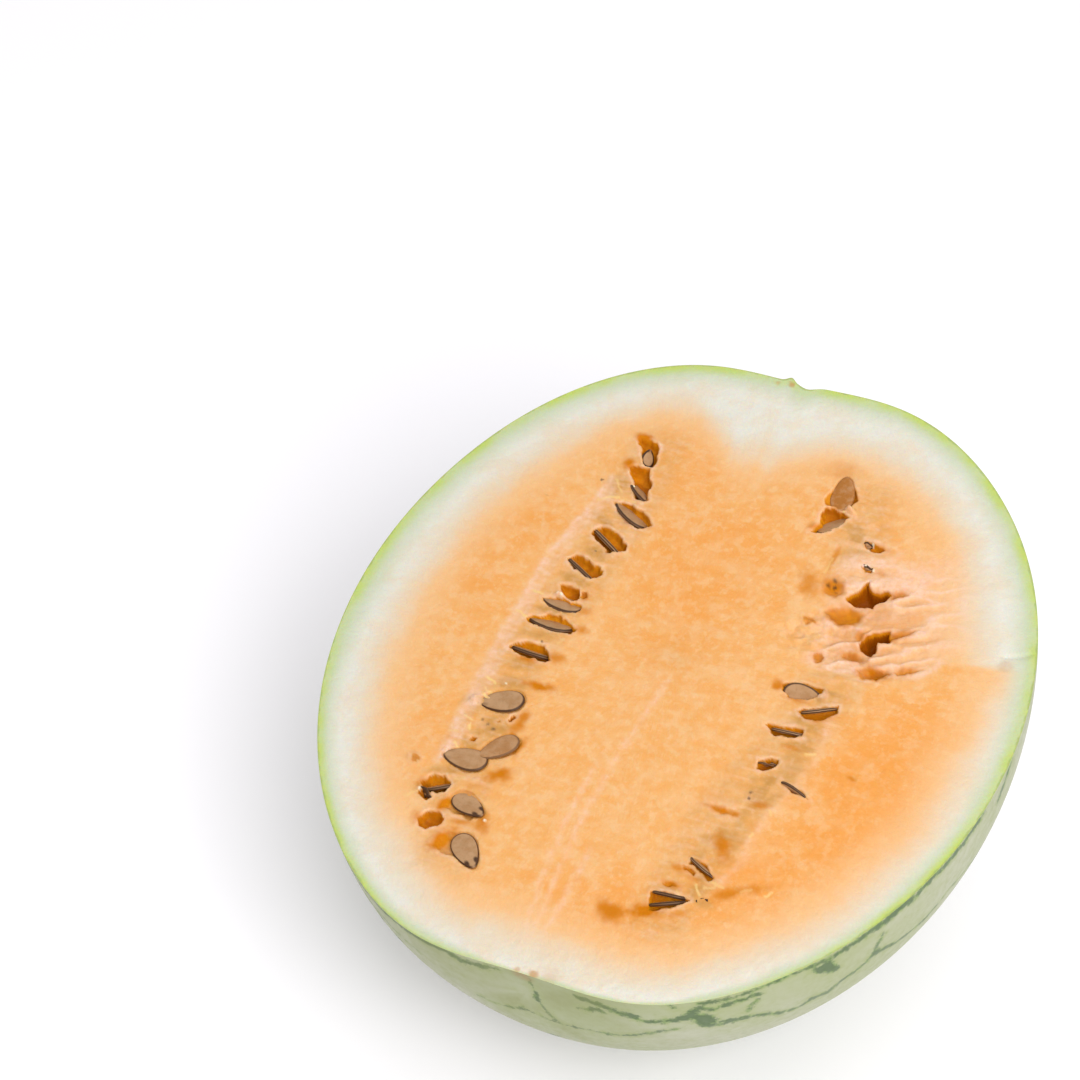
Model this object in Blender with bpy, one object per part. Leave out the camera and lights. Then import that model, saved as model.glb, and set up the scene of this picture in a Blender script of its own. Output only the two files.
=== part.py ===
"""A watermelon half, cut from end to end and lying on its round side, cut face up.

Metres, +Z up. The fruit's long axis runs along +Y, with the blossom end forward.
The origin is on the surface that the half rests on, under the middle of its box.
The half is one solid: skin, rind and flesh grew together, and the seeds that the
knife laid bare are fused to the flesh that holds them.
"""

import math
from collections import namedtuple

import bmesh
import bpy
from mathutils import Matrix, Vector

MM = 0.001

# Driving sizes of the whole oval, before its two ends are drawn in
HALF_LENGTH = 114 * MM
HALF_WIDTH = 100 * MM
HALF_DEPTH = 98.2 * MM

# The two ends are drawn in by a wide shallow dimple, and one shoulder is fuller
END_DIP = 6.5 * MM
END_DIP_WIDTH = 29 * MM
SHOULDER = 0.0144
SHOULDER_AT = math.radians(128)
SHOULDER_WIDTH = math.radians(22)

# How the half lies: the blossom end and the right side are a little higher
RAISE_BLOSSOM = math.radians(8.9)
RAISE_RIGHT = math.radians(5.2)
FLAT_SPOT_CUT = 3.0 * MM

# The cut face: skin line, white rind and flesh
SKIN = 2.2 * MM
RIND = 14 * MM
RIND_EXTRA_AT_ENDS = 4 * MM

SEED_LENGTH = 13.6 * MM
SEED_WIDTH = 7.6 * MM
SEED_THICKNESS = 2.3 * MM

# Fineness of the solid
STEPS_ALONG = 44
STEPS_ROUND = 26
SEED_SIDES = 12
POCKET_SIDES = 10
POCKET_RIM_ABOVE = 1.0 * MM

SMOOTH_ANGLE = math.radians(40)
WELD = 0.02 * MM

# A seed lies at x, y on the cut face, in mm, with its pointed tip towards turn.
# lean lifts the side left of the tip, pitch lifts the tip, both in degrees, and
# lift raises the whole seed, in mm. Size is a share of the full seed.
Seed = namedtuple("Seed", "x y turn lean pitch lift size")

LEFT_SEEDS = [
    Seed(-35.3, 66.9, 100, 35, 0, -1.6, 0.62),
    Seed(-33.3, 53.8, 142, 55, 0, -1.4, 0.80),
    Seed(-32.7, 44.7, 150, 46, 0, -1.6, 1.03),
    Seed(-35.5, 33.5, 148, 72, 0, -2.4, 0.95),
    Seed(-39.1, 21.6, 151, 70, 0, -2.6, 0.80),
    Seed(-39.0, 8.3, 176, 32, 0, -1.0, 0.93),
    Seed(-38.4, 0.1, 178, 36, 0, -1.3, 1.05),
    Seed(-40.9, -11.2, 177, 52, 0, -2.2, 0.96),
    Seed(-41.4, -28.9, 197, 6, -3, 0.2, 1.04),
    Seed(-35.3, -43.8, 232, 14, -4, 0.1, 0.90),
    Seed(-43.1, -49.8, 183, 7, 0, 0.5, 0.98),
    Seed(-46.8, -60.5, 210, 60, 0, -1.6, 0.62),
    Seed(-48.7, -64.5, 335, 12, 0, -0.2, 0.40),
    Seed(-35.8, -64.2, 338, -8, 5, 0.2, 0.90),
    Seed(-30.2, -77.6, 316, 0, 3, 0.2, 0.90),
]
RIGHT_SEEDS = [
    Seed(24.9, 70.4, 100, -9, 5, -0.2, 0.84),
    Seed(26.3, 58.7, 46, -48, 0, -1.6, 0.76),
    Seed(38.8, 54.6, 350, 0, 10, 0.1, 0.30),
    Seed(40.9, 46.4, 348, 60, 0, -0.4, 0.34),
    Seed(39.0, -0.4, 5, 12, 0, -0.5, 0.90),
    Seed(45.2, -4.4, 25, -53, 0, -1.7, 0.80),
    Seed(38.8, -14.3, 3, -57, 0, -1.7, 0.74),
    Seed(37.4, -26.0, 8, -60, 0, -1.0, 0.38),
    Seed(48.1, -32.0, 345, -84, 0, -1.9, 0.66),
    Seed(33.0, -62.9, 333, 32, 0, -0.9, 0.72),
    Seed(28.6, -75.0, 13, 0, 12, -0.4, 0.86),
    Seed(36.9, -71.5, 30, 0, 0, 0.1, 0.28),
]

# A pocket is a hollow at x, y with its long side towards turn, sizes in mm.
Pocket = namedtuple("Pocket", "x y turn length width depth")

LEFT_POCKETS = [
    Pocket(-36.6, 70.0, 110, 10.5, 6.4, 4.0),
    Pocket(-35.0, 57.8, 123, 13.0, 5.4, 5.0),
    Pocket(-30.6, 46.3, 150, 13.0, 4.6, 3.4),
    Pocket(-34.3, 34.6, 155, 12.6, 7.2, 5.0),
    Pocket(-37.4, 22.9, 158, 11.4, 5.0, 4.2),
    Pocket(-37.4, 12.9, 168, 8.2, 3.4, 3.0),
    Pocket(-38.0, 2.6, 178, 13.4, 3.2, 2.2),
    Pocket(-41.0, -9.2, 177, 12.0, 4.4, 4.0),
    Pocket(-36.2, -33.2, 60, 2.8, 2.0, 2.4),
    Pocket(-47.3, -59.5, 15, 7.6, 4.6, 4.2),
    Pocket(-40.6, -66.2, 150, 6.4, 3.4, 1.2),
    Pocket(-44.0, -71.6, 15, 7.6, 5.4, 4.2),
    Pocket(-36.2, -75.4, 130, 9.6, 6.4, 1.8),
]
RIGHT_POCKETS = [
    Pocket(24.6, 70.6, 96, 11.6, 8.6, 1.5),
    Pocket(24.9, 61.0, 42, 9.0, 4.4, 4.0),
    Pocket(44.2, 36.8, 24, 11.0, 6.8, 7.0),
    Pocket(40.3, 28.6, 0, 12.4, 8.6, 2.0),
    Pocket(51.0, 22.8, 36, 10.0, 7.2, 8.0),
    Pocket(55.4, 13.0, 14, 17.0, 5.4, 4.0),
    Pocket(60.0, 30.4, 34, 17.0, 2.8, 1.3),
    Pocket(63.5, 21.6, 28, 15.0, 2.8, 1.3),
    Pocket(53.5, 42.0, 32, 12.0, 2.6, 1.1),
    Pocket(35.0, 1.2, 12, 6.4, 4.6, 2.0),
    Pocket(45.9, -5.9, 25, 10.6, 3.6, 2.4),
    Pocket(38.2, -12.7, 3, 10.2, 3.0, 2.4),
    Pocket(37.5, -25.3, 5, 6.0, 4.2, 3.0),
    Pocket(31.2, -43.2, 0, 10.0, 1.3, 1.4),
]

# Depth and width of a pocket's rings, as shares of its depth and half sizes
POCKET_RINGS = ((0.0, 1.0), (0.45, 0.9), (0.8, 0.62))

# Thickness and outline of a seed's rings, as shares of half thickness and outline
SEED_RINGS = ((-1.0, 0.6), (0.0, 1.0), (1.0, 0.6))

SKIN_SLOT, RIND_SLOT, FLESH_SLOT, POCKET_SLOT, SEED_SLOT = range(5)


def clear_scene():
    """Remove whatever the scene holds."""
    for thing in list(bpy.data.objects):
        bpy.data.objects.remove(thing, do_unlink=True)


def material(name, colour, roughness):
    """A plain finish with the colour and gloss of that part of the fruit."""
    made = bpy.data.materials.new(name)
    made.use_nodes = True
    shader = made.node_tree.nodes["Principled BSDF"]
    shader.inputs["Base Color"].default_value = (*colour, 1)
    shader.inputs["Roughness"].default_value = roughness
    shader.inputs["Metallic"].default_value = 0
    made.diffuse_color = (*colour, 1)
    return made


def fruit_materials():
    """The finishes in the order of the slot numbers."""
    return [
        material("skin", (0.50, 0.62, 0.42), 0.45),
        material("rind", (0.80, 0.84, 0.68), 0.5),
        material("flesh", (0.95, 0.50, 0.22), 0.45),
        material("pocket_wall", (0.60, 0.22, 0.03), 0.3),
        material("seed_coat", (0.34, 0.21, 0.12), 0.35),
    ]


def fruit_surface(along, around):
    """A point of the outer skin. along runs from the blossom end, 0, to the stem
    end, pi. around runs from the left edge, -90 degrees, to the right edge."""
    x = HALF_WIDTH * math.sin(along) * math.sin(around)
    y = HALF_LENGTH * math.cos(along)
    z = -HALF_DEPTH * math.sin(along) * math.cos(around)
    point = Vector((x, y, z))
    shoulder = Vector((math.cos(SHOULDER_AT), math.sin(SHOULDER_AT), 0))
    away = point.angle(shoulder)
    point *= 1 + SHOULDER * math.exp(-((away / SHOULDER_WIDTH) ** 2))
    off_axis = math.hypot(point.x, point.z)
    dip = END_DIP * math.exp(-((off_axis / END_DIP_WIDTH) ** 2))
    point.y -= math.copysign(dip, point.y)
    return point


def skin_rings(shape):
    """The skin's rings of vertices between the two ends, and the two end points."""
    rings = []
    for step in range(1, STEPS_ALONG):
        along = math.pi * step / STEPS_ALONG
        ring = []
        for turn in range(STEPS_ROUND + 1):
            around = math.pi * (turn / STEPS_ROUND - 0.5)
            ring.append(shape.verts.new(fruit_surface(along, around)))
        rings.append(ring)
    ends = [shape.verts.new(fruit_surface(at, 0)) for at in (0, math.pi)]
    return rings, ends


def cover_skin(shape, rings, ends):
    """Close the skin between its rings and at its ends, facing out."""
    blossom, stem = ends
    for left, right in zip(rings[0], rings[0][1:]):
        shape.faces.new((blossom, left, right))
    for near, far in zip(rings, rings[1:]):
        for turn in range(STEPS_ROUND):
            shape.faces.new((near[turn], far[turn], far[turn + 1], near[turn + 1]))
    for left, right in zip(rings[-1], rings[-1][1:]):
        shape.faces.new((stem, right, left))


def inset_rim(shape, rim, depth_at):
    """A ring of vertices inside the rim, depth_at(point) from it."""
    inner = []
    for vertex in rim:
        point = vertex.co
        reach = point.length
        inner.append(shape.verts.new(point * (1 - depth_at(point) / reach)))
    return inner


def rind_depth(point):
    """Skin and rind together, thicker towards the two ends."""
    return RIND + RIND_EXTRA_AT_ENDS * (point.y / HALF_LENGTH) ** 4


def cover_cut_face(shape, rings, ends):
    """Close the cut face with a skin line, a band of rind and the flesh."""
    blossom, stem = ends
    right_side = [ring[-1] for ring in rings]
    left_side = [ring[0] for ring in reversed(rings)]
    rim = [blossom, *right_side, stem, *left_side]
    for vertex in rim:
        vertex.co.z = 0
    skin_line = inset_rim(shape, rim, lambda point: SKIN)
    flesh_edge = inset_rim(shape, rim, rind_depth)
    for outer, inner, slot in ((rim, skin_line, SKIN_SLOT), (skin_line, flesh_edge, RIND_SLOT)):
        for here in range(len(rim)):
            after = (here + 1) % len(rim)
            face = shape.faces.new((outer[after], outer[here], inner[here], inner[after]))
            face.material_index = slot
    flesh = shape.faces.new(reversed(flesh_edge))
    flesh.material_index = FLESH_SLOT


def make_object(name, shape, finishes):
    """An object in the scene from a bmesh, with the fruit's finishes."""
    bmesh.ops.recalc_face_normals(shape, faces=shape.faces)
    mesh = bpy.data.meshes.new(name)
    shape.to_mesh(mesh)
    shape.free()
    for finish in finishes:
        mesh.materials.append(finish)
    made = bpy.data.objects.new(name, mesh)
    bpy.context.scene.collection.objects.link(made)
    return made


def melon_body(finishes):
    """The half of the fruit in its own axes, with the cut face at height 0."""
    shape = bmesh.new()
    rings, ends = skin_rings(shape)
    cover_skin(shape, rings, ends)
    cover_cut_face(shape, rings, ends)
    return make_object("melon_half", shape, finishes)


def stacked_rings(shape, rings, slot):
    """A closed body through rings of points, with its first and last ring filled."""
    made = [[shape.verts.new(point) for point in ring] for ring in rings]
    for near, far in zip(made, made[1:]):
        for here in range(len(near)):
            after = (here + 1) % len(near)
            shape.faces.new((near[here], near[after], far[after], far[here]))
    shape.faces.new(made[0])
    shape.faces.new(reversed(made[-1]))
    for face in shape.faces:
        face.material_index = slot


def seed_outline(turn):
    """A seed's outline at an angle from its tip: a drop with a narrow end."""
    across = math.sin(turn) * (1 - 0.28 * math.cos(turn))
    return Vector((SEED_LENGTH / 2 * math.cos(turn), SEED_WIDTH / 2 * across, 0))


def seed_body(seed, finishes, name):
    """One seed, lying as the cut left it."""
    rings = []
    for height, share in SEED_RINGS:
        ring = []
        for side in range(SEED_SIDES):
            point = seed_outline(math.tau * side / SEED_SIDES) * share
            point.z = height * SEED_THICKNESS / 2
            ring.append(point * seed.size)
        rings.append(ring)
    shape = bmesh.new()
    stacked_rings(shape, rings, SEED_SLOT)
    place = (
        Matrix.Translation((seed.x * MM, seed.y * MM, seed.lift * MM))
        @ Matrix.Rotation(math.radians(seed.turn), 4, "Z")
        @ Matrix.Rotation(-math.radians(seed.pitch), 4, "Y")
        @ Matrix.Rotation(math.radians(seed.lean), 4, "X")
    )
    bmesh.ops.transform(shape, matrix=place, verts=shape.verts)
    return make_object(name, shape, finishes)


def pocket_body(pocket, finishes, name):
    """The space of one hollow, from just above the cut face down to its floor."""
    rings = []
    for height, share in ((-POCKET_RIM_ABOVE / (pocket.depth * MM), 1.0), *POCKET_RINGS):
        ring = []
        for side in range(POCKET_SIDES):
            turn = math.tau * side / POCKET_SIDES
            x = pocket.length * MM / 2 * share * math.cos(turn)
            y = pocket.width * MM / 2 * share * math.sin(turn)
            ring.append(Vector((x, y, -height * pocket.depth * MM)))
        rings.append(ring)
    shape = bmesh.new()
    stacked_rings(shape, rings, POCKET_SLOT)
    place = Matrix.Translation((pocket.x * MM, pocket.y * MM, 0))
    place @= Matrix.Rotation(math.radians(pocket.turn), 4, "Z")
    bmesh.ops.transform(shape, matrix=place, verts=shape.verts)
    return make_object(name, shape, finishes)


def combine(body, others, operation):
    """Join all the others to the body, or cut them from it, and remove them."""
    group = bpy.data.collections.new("for_" + operation.lower())
    for other in others:
        group.objects.link(other)
    change = body.modifiers.new(operation.lower(), "BOOLEAN")
    change.operation = operation
    change.operand_type = "COLLECTION"
    change.collection = group
    change.solver = "EXACT"
    with bpy.context.temp_override(object=body):
        bpy.ops.object.modifier_apply(modifier=change.name)
    for other in others:
        bpy.data.objects.remove(other, do_unlink=True)
    bpy.data.collections.remove(group)


def lie_down(body):
    """Tilt the half as it lies, cut its small flat spot and set it on height 0."""
    tilt = Matrix.Rotation(RAISE_BLOSSOM, 4, "X") @ Matrix.Rotation(-RAISE_RIGHT, 4, "Y")
    shape = bmesh.new()
    shape.from_mesh(body.data)
    bmesh.ops.transform(shape, matrix=tilt, verts=shape.verts)
    floor = min(vertex.co.z for vertex in shape.verts) + FLAT_SPOT_CUT
    parts = [*shape.verts, *shape.edges, *shape.faces]
    cut = bmesh.ops.bisect_plane(
        shape, geom=parts, dist=WELD, plane_co=(0, 0, floor), plane_no=(0, 0, -1), clear_outer=True
    )
    rim = [part for part in cut["geom_cut"] if isinstance(part, bmesh.types.BMEdge)]
    spot = bmesh.ops.contextual_create(shape, geom=rim)["faces"]
    for face in spot:
        face.material_index = SKIN_SLOT
    corners = [vertex.co for vertex in shape.verts]
    middle_x = (min(c.x for c in corners) + max(c.x for c in corners)) / 2
    middle_y = (min(c.y for c in corners) + max(c.y for c in corners)) / 2
    bmesh.ops.translate(shape, vec=(-middle_x, -middle_y, -floor), verts=shape.verts)
    shape.to_mesh(body.data)
    shape.free()


def connected_parts(shape):
    """The separate closed bodies of a bmesh, as lists of vertices."""
    left = set(shape.verts)
    parts = []
    while left:
        part = {left.pop()}
        edge_of = list(part)
        while edge_of:
            vertex = edge_of.pop()
            for edge in vertex.link_edges:
                other = edge.other_vert(vertex)
                if other not in part:
                    part.add(other)
                    edge_of.append(other)
        left -= part
        parts.append(list(part))
    return parts


def tidy(body):
    """Keep one body, without scraps or sealed hollows, in clean triangles."""
    shape = bmesh.new()
    shape.from_mesh(body.data)
    bmesh.ops.remove_doubles(shape, verts=shape.verts, dist=WELD)
    bmesh.ops.dissolve_degenerate(shape, edges=shape.edges, dist=WELD)
    parts = sorted(connected_parts(shape), key=len)
    for scrap in parts[:-1]:
        bmesh.ops.delete(shape, geom=scrap, context="VERTS")
    bmesh.ops.triangulate(shape, faces=shape.faces, ngon_method="BEAUTY")
    bmesh.ops.recalc_face_normals(shape, faces=shape.faces)
    shape.to_mesh(body.data)
    shape.free()
    body.data.shade_smooth()
    body.data.set_sharp_from_angle(angle=SMOOTH_ANGLE)


def build():
    """The whole half."""
    clear_scene()
    finishes = fruit_materials()
    body = melon_body(finishes)
    pockets = [
        pocket_body(pocket, finishes, f"pocket_{number:02d}")
        for number, pocket in enumerate(LEFT_POCKETS + RIGHT_POCKETS)
    ]
    combine(body, pockets, "DIFFERENCE")
    seeds = [
        seed_body(seed, finishes, f"seed_{number:02d}")
        for number, seed in enumerate(LEFT_SEEDS + RIGHT_SEEDS)
    ]
    combine(body, seeds, "UNION")
    lie_down(body)
    tidy(body)


build()
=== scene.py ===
"""Looks of a watermelon half, cut from end to end and lying on its round side.

The half is one fine skin-and-flesh body, with the seeds that the knife laid bare set
in it as pieces of their own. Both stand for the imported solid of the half, and are
shaped in the fruit's own axes first: x across the cut face to the right, y along the
fruit to its blossom end, z out of the face. All lengths there are in millimetres.
"""

import math
from collections import namedtuple

import bpy
import numpy as np
from bpy.props import FloatProperty, FloatVectorProperty, PointerProperty
from mathutils import Euler, Matrix, Vector


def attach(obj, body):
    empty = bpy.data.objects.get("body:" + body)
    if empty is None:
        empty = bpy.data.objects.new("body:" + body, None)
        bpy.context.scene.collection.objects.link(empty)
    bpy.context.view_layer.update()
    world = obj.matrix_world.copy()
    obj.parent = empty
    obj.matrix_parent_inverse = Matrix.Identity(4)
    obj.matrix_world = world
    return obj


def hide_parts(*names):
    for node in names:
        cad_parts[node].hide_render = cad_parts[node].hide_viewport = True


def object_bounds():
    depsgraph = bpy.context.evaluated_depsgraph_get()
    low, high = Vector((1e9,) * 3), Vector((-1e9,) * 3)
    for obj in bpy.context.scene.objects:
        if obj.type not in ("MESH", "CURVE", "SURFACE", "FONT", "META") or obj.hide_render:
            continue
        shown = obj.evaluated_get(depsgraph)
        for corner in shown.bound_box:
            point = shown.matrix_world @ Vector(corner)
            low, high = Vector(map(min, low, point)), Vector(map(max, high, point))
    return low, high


bl_info = {
    "name": "Watermelon Half",
    "version": (1, 0, 0),
    "blender": (4, 5, 0),
    "location": "View3D > Sidebar > Melon",
    "description": "Builds a cut watermelon half with its seeds, on a plain floor",
    "category": "Object",
}

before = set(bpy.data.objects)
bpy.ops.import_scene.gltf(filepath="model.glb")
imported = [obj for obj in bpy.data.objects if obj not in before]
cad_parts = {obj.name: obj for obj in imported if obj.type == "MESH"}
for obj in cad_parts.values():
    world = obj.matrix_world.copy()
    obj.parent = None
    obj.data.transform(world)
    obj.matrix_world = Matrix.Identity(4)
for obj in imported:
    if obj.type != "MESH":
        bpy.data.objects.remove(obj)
CAD_LOW, CAD_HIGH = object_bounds()

MM = 0.001
NODE = "melon_half"
BODY = "root"

# Whole oval before its ends are drawn in, and how it departs from a plain oval
HALF_LENGTH = 114
HALF_WIDTH = 100
HALF_DEPTH = 98.2
END_DIP = 6.5
END_DIP_WIDTH = 29
SHOULDER = 0.0144
SHOULDER_AT = math.radians(128)
SHOULDER_WIDTH = math.radians(22)

# How the half lies
RAISE_BLOSSOM = math.radians(8.9)
RAISE_RIGHT = math.radians(5.2)
FLAT_SPOT_CUT = 3.0

# Cells of the fine body, in mm, where seeds and tears are and elsewhere
FINE_CELL = 0.40
ROW_CELL = 0.44
PLAIN_CELL = 1.0
SKIN_CELL = 2.2
RIM_CELL = 0.7
RIM_BAND = math.radians(58)
END_ROWS = 100
FINE_ROWS = (-88, 80)
FINE_LEFT = (-52, -27)
FINE_RIGHT = (20, 68)

# A full seed: length, width and thickness in mm, and how much it narrows to its tip
SEED_LENGTH = 13.6
SEED_WIDTH = 7.6
SEED_THICKNESS = 1.5
SEED_TAPER = 0.28

# The stage: floor, lights and the way from the cut face to the camera, in metres
FLOOR_REACH = 3.0
FLOOR_GAP = 0.0002
KEY_PLACE = (0.85, -0.75, 1.15)
KEY_SIZE = 0.9
TOP_PLACE = (0.15, 0.1, 1.4)
TOP_SIZE = 1.2
LIT_HEIGHT = 0.06
FACE_TO_CAMERA = (0.1847, -0.5119, 0.5886)

FLOOR_COLOUR = (0.86, 0.845, 0.88)
FLOOR_GLOW = (1, 0.98, 1)

# How many random values the noise is made from
NOISE_VALUES = 4096

# Kinds of places in the tables below. Lengths are in mm and turns in degrees.
Spot = namedtuple("Spot", "x y size strength", defaults=(1,))
Seed = namedtuple("Seed", "x y turn lean pitch lift size spots amber dark seam", defaults=(0.12, 0, 0, 0))
Patch = namedtuple("Patch", "x y turn length width strength")

# A seed lies at x, y with its tip towards turn. lean lifts the side left of the tip,
# pitch lifts the tip, lift raises it all, and size is a share of the full seed. spots
# is how dark the two marks beside its tip are, amber how far its coat is soaked, dark
# how far in from its edge the dark rim reaches, and seam how pale its edge is.
LEFT_SEEDS = [
    Seed(-36.2, 67.4, 100, 35, 0, -1.5, 0.54, 0.8, 0, 0.2),
    Seed(-33.6, 54.4, 142, 55, 0, -1.7, 0.78, 0.3, 0, 0.1),
    Seed(-32.8, 45.7, 150, 46, 0, -1.9, 1.03),
    Seed(-35.7, 34.5, 148, 72, 0, -2.5, 1, 0, 0, 0, 1),
    Seed(-39.3, 22.9, 151, 70, 0, -2.7, 0.96),
    Seed(-39.2, 9, 176, 29, 0, -1.5, 0.98),
    Seed(-39.5, 1.6, 179, 37, 0, -1.9, 1.05),
    Seed(-41.4, -9.2, 177, 56, 0, -2.6, 0.98),
    Seed(-41.5, -28.6, 197, 6, -3, -0.7, 0.99, 0.3),
    Seed(-35.6, -43.6, 226, 10, -2, -0.4, 0.92, 0, 0.4),
    Seed(-43.1, -49.8, 183, 7, 0, -0.5, 0.98, 0.2, 0.1),
    Seed(-46.8, -60.2, 210, 50, 0, -1.8, 0.70, 0.6, 0.1, 0.1),
    Seed(-48.7, -63.9, 330, 62, 0, -0.4, 0.36, 1, 0, 0.8),
    Seed(-35.8, -63.6, 338, -8, 5, -0.6, 0.85, 1),
    Seed(-30.2, -77.4, 316, 0, 3, -0.6, 0.92, 1),
]

RIGHT_SEEDS = [
    Seed(24.9, 70.8, 98, -9, 5, -0.6, 0.92, 0, 1),
    Seed(26.1, 59.5, 46, -28, 0, -1.7, 0.80, 0.4, 0.1),
    Seed(38.5, 54.7, 350, 60, 10, -0.6, 0.26, 0.6, 0, 0.3),
    Seed(41.2, 46.7, 345, 75, 0, -0.7, 0.28, 0.6, 0, 0.3),
    Seed(38.5, -0.3, 5, 24, 0, -1.2, 0.84, 0, 0.1, 0.06),
    Seed(44.7, -3.2, 26, -53, 0, -1.9, 0.80, 0, 0, 0, 1),
    Seed(39.3, -12.8, 3, -57, 0, -1.8, 0.74, 0, 0, 0, 1),
    Seed(37.6, -24.9, 8, -60, 0, -1.2, 0.42, 0.3, 0, 0.2, 1),
    Seed(47.9, -30.9, 343, -84, 0, -1.9, 0.78),
    Seed(33.2, -61.4, 333, -60, 0, -1.3, 0.70, 0.4, 0, 0, 1),
    Seed(27.9, -72.2, 5, -62, 0, -1.3, 0.74, 1.5, 0, 0.1),
    Seed(28.2, -74.8, 24, -58, 0, -1.2, 0.74, 1.5, 0, 0.1),
    Seed(37.1, -71.3, 30, 10, 0, -0.4, 0.28, 2, 0, 0.9),
]

# A hollow in the cut face: its mouth's outline, its depth, and how wide its wall is
Hollow = namedtuple("Hollow", "mouth depth wall")

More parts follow.
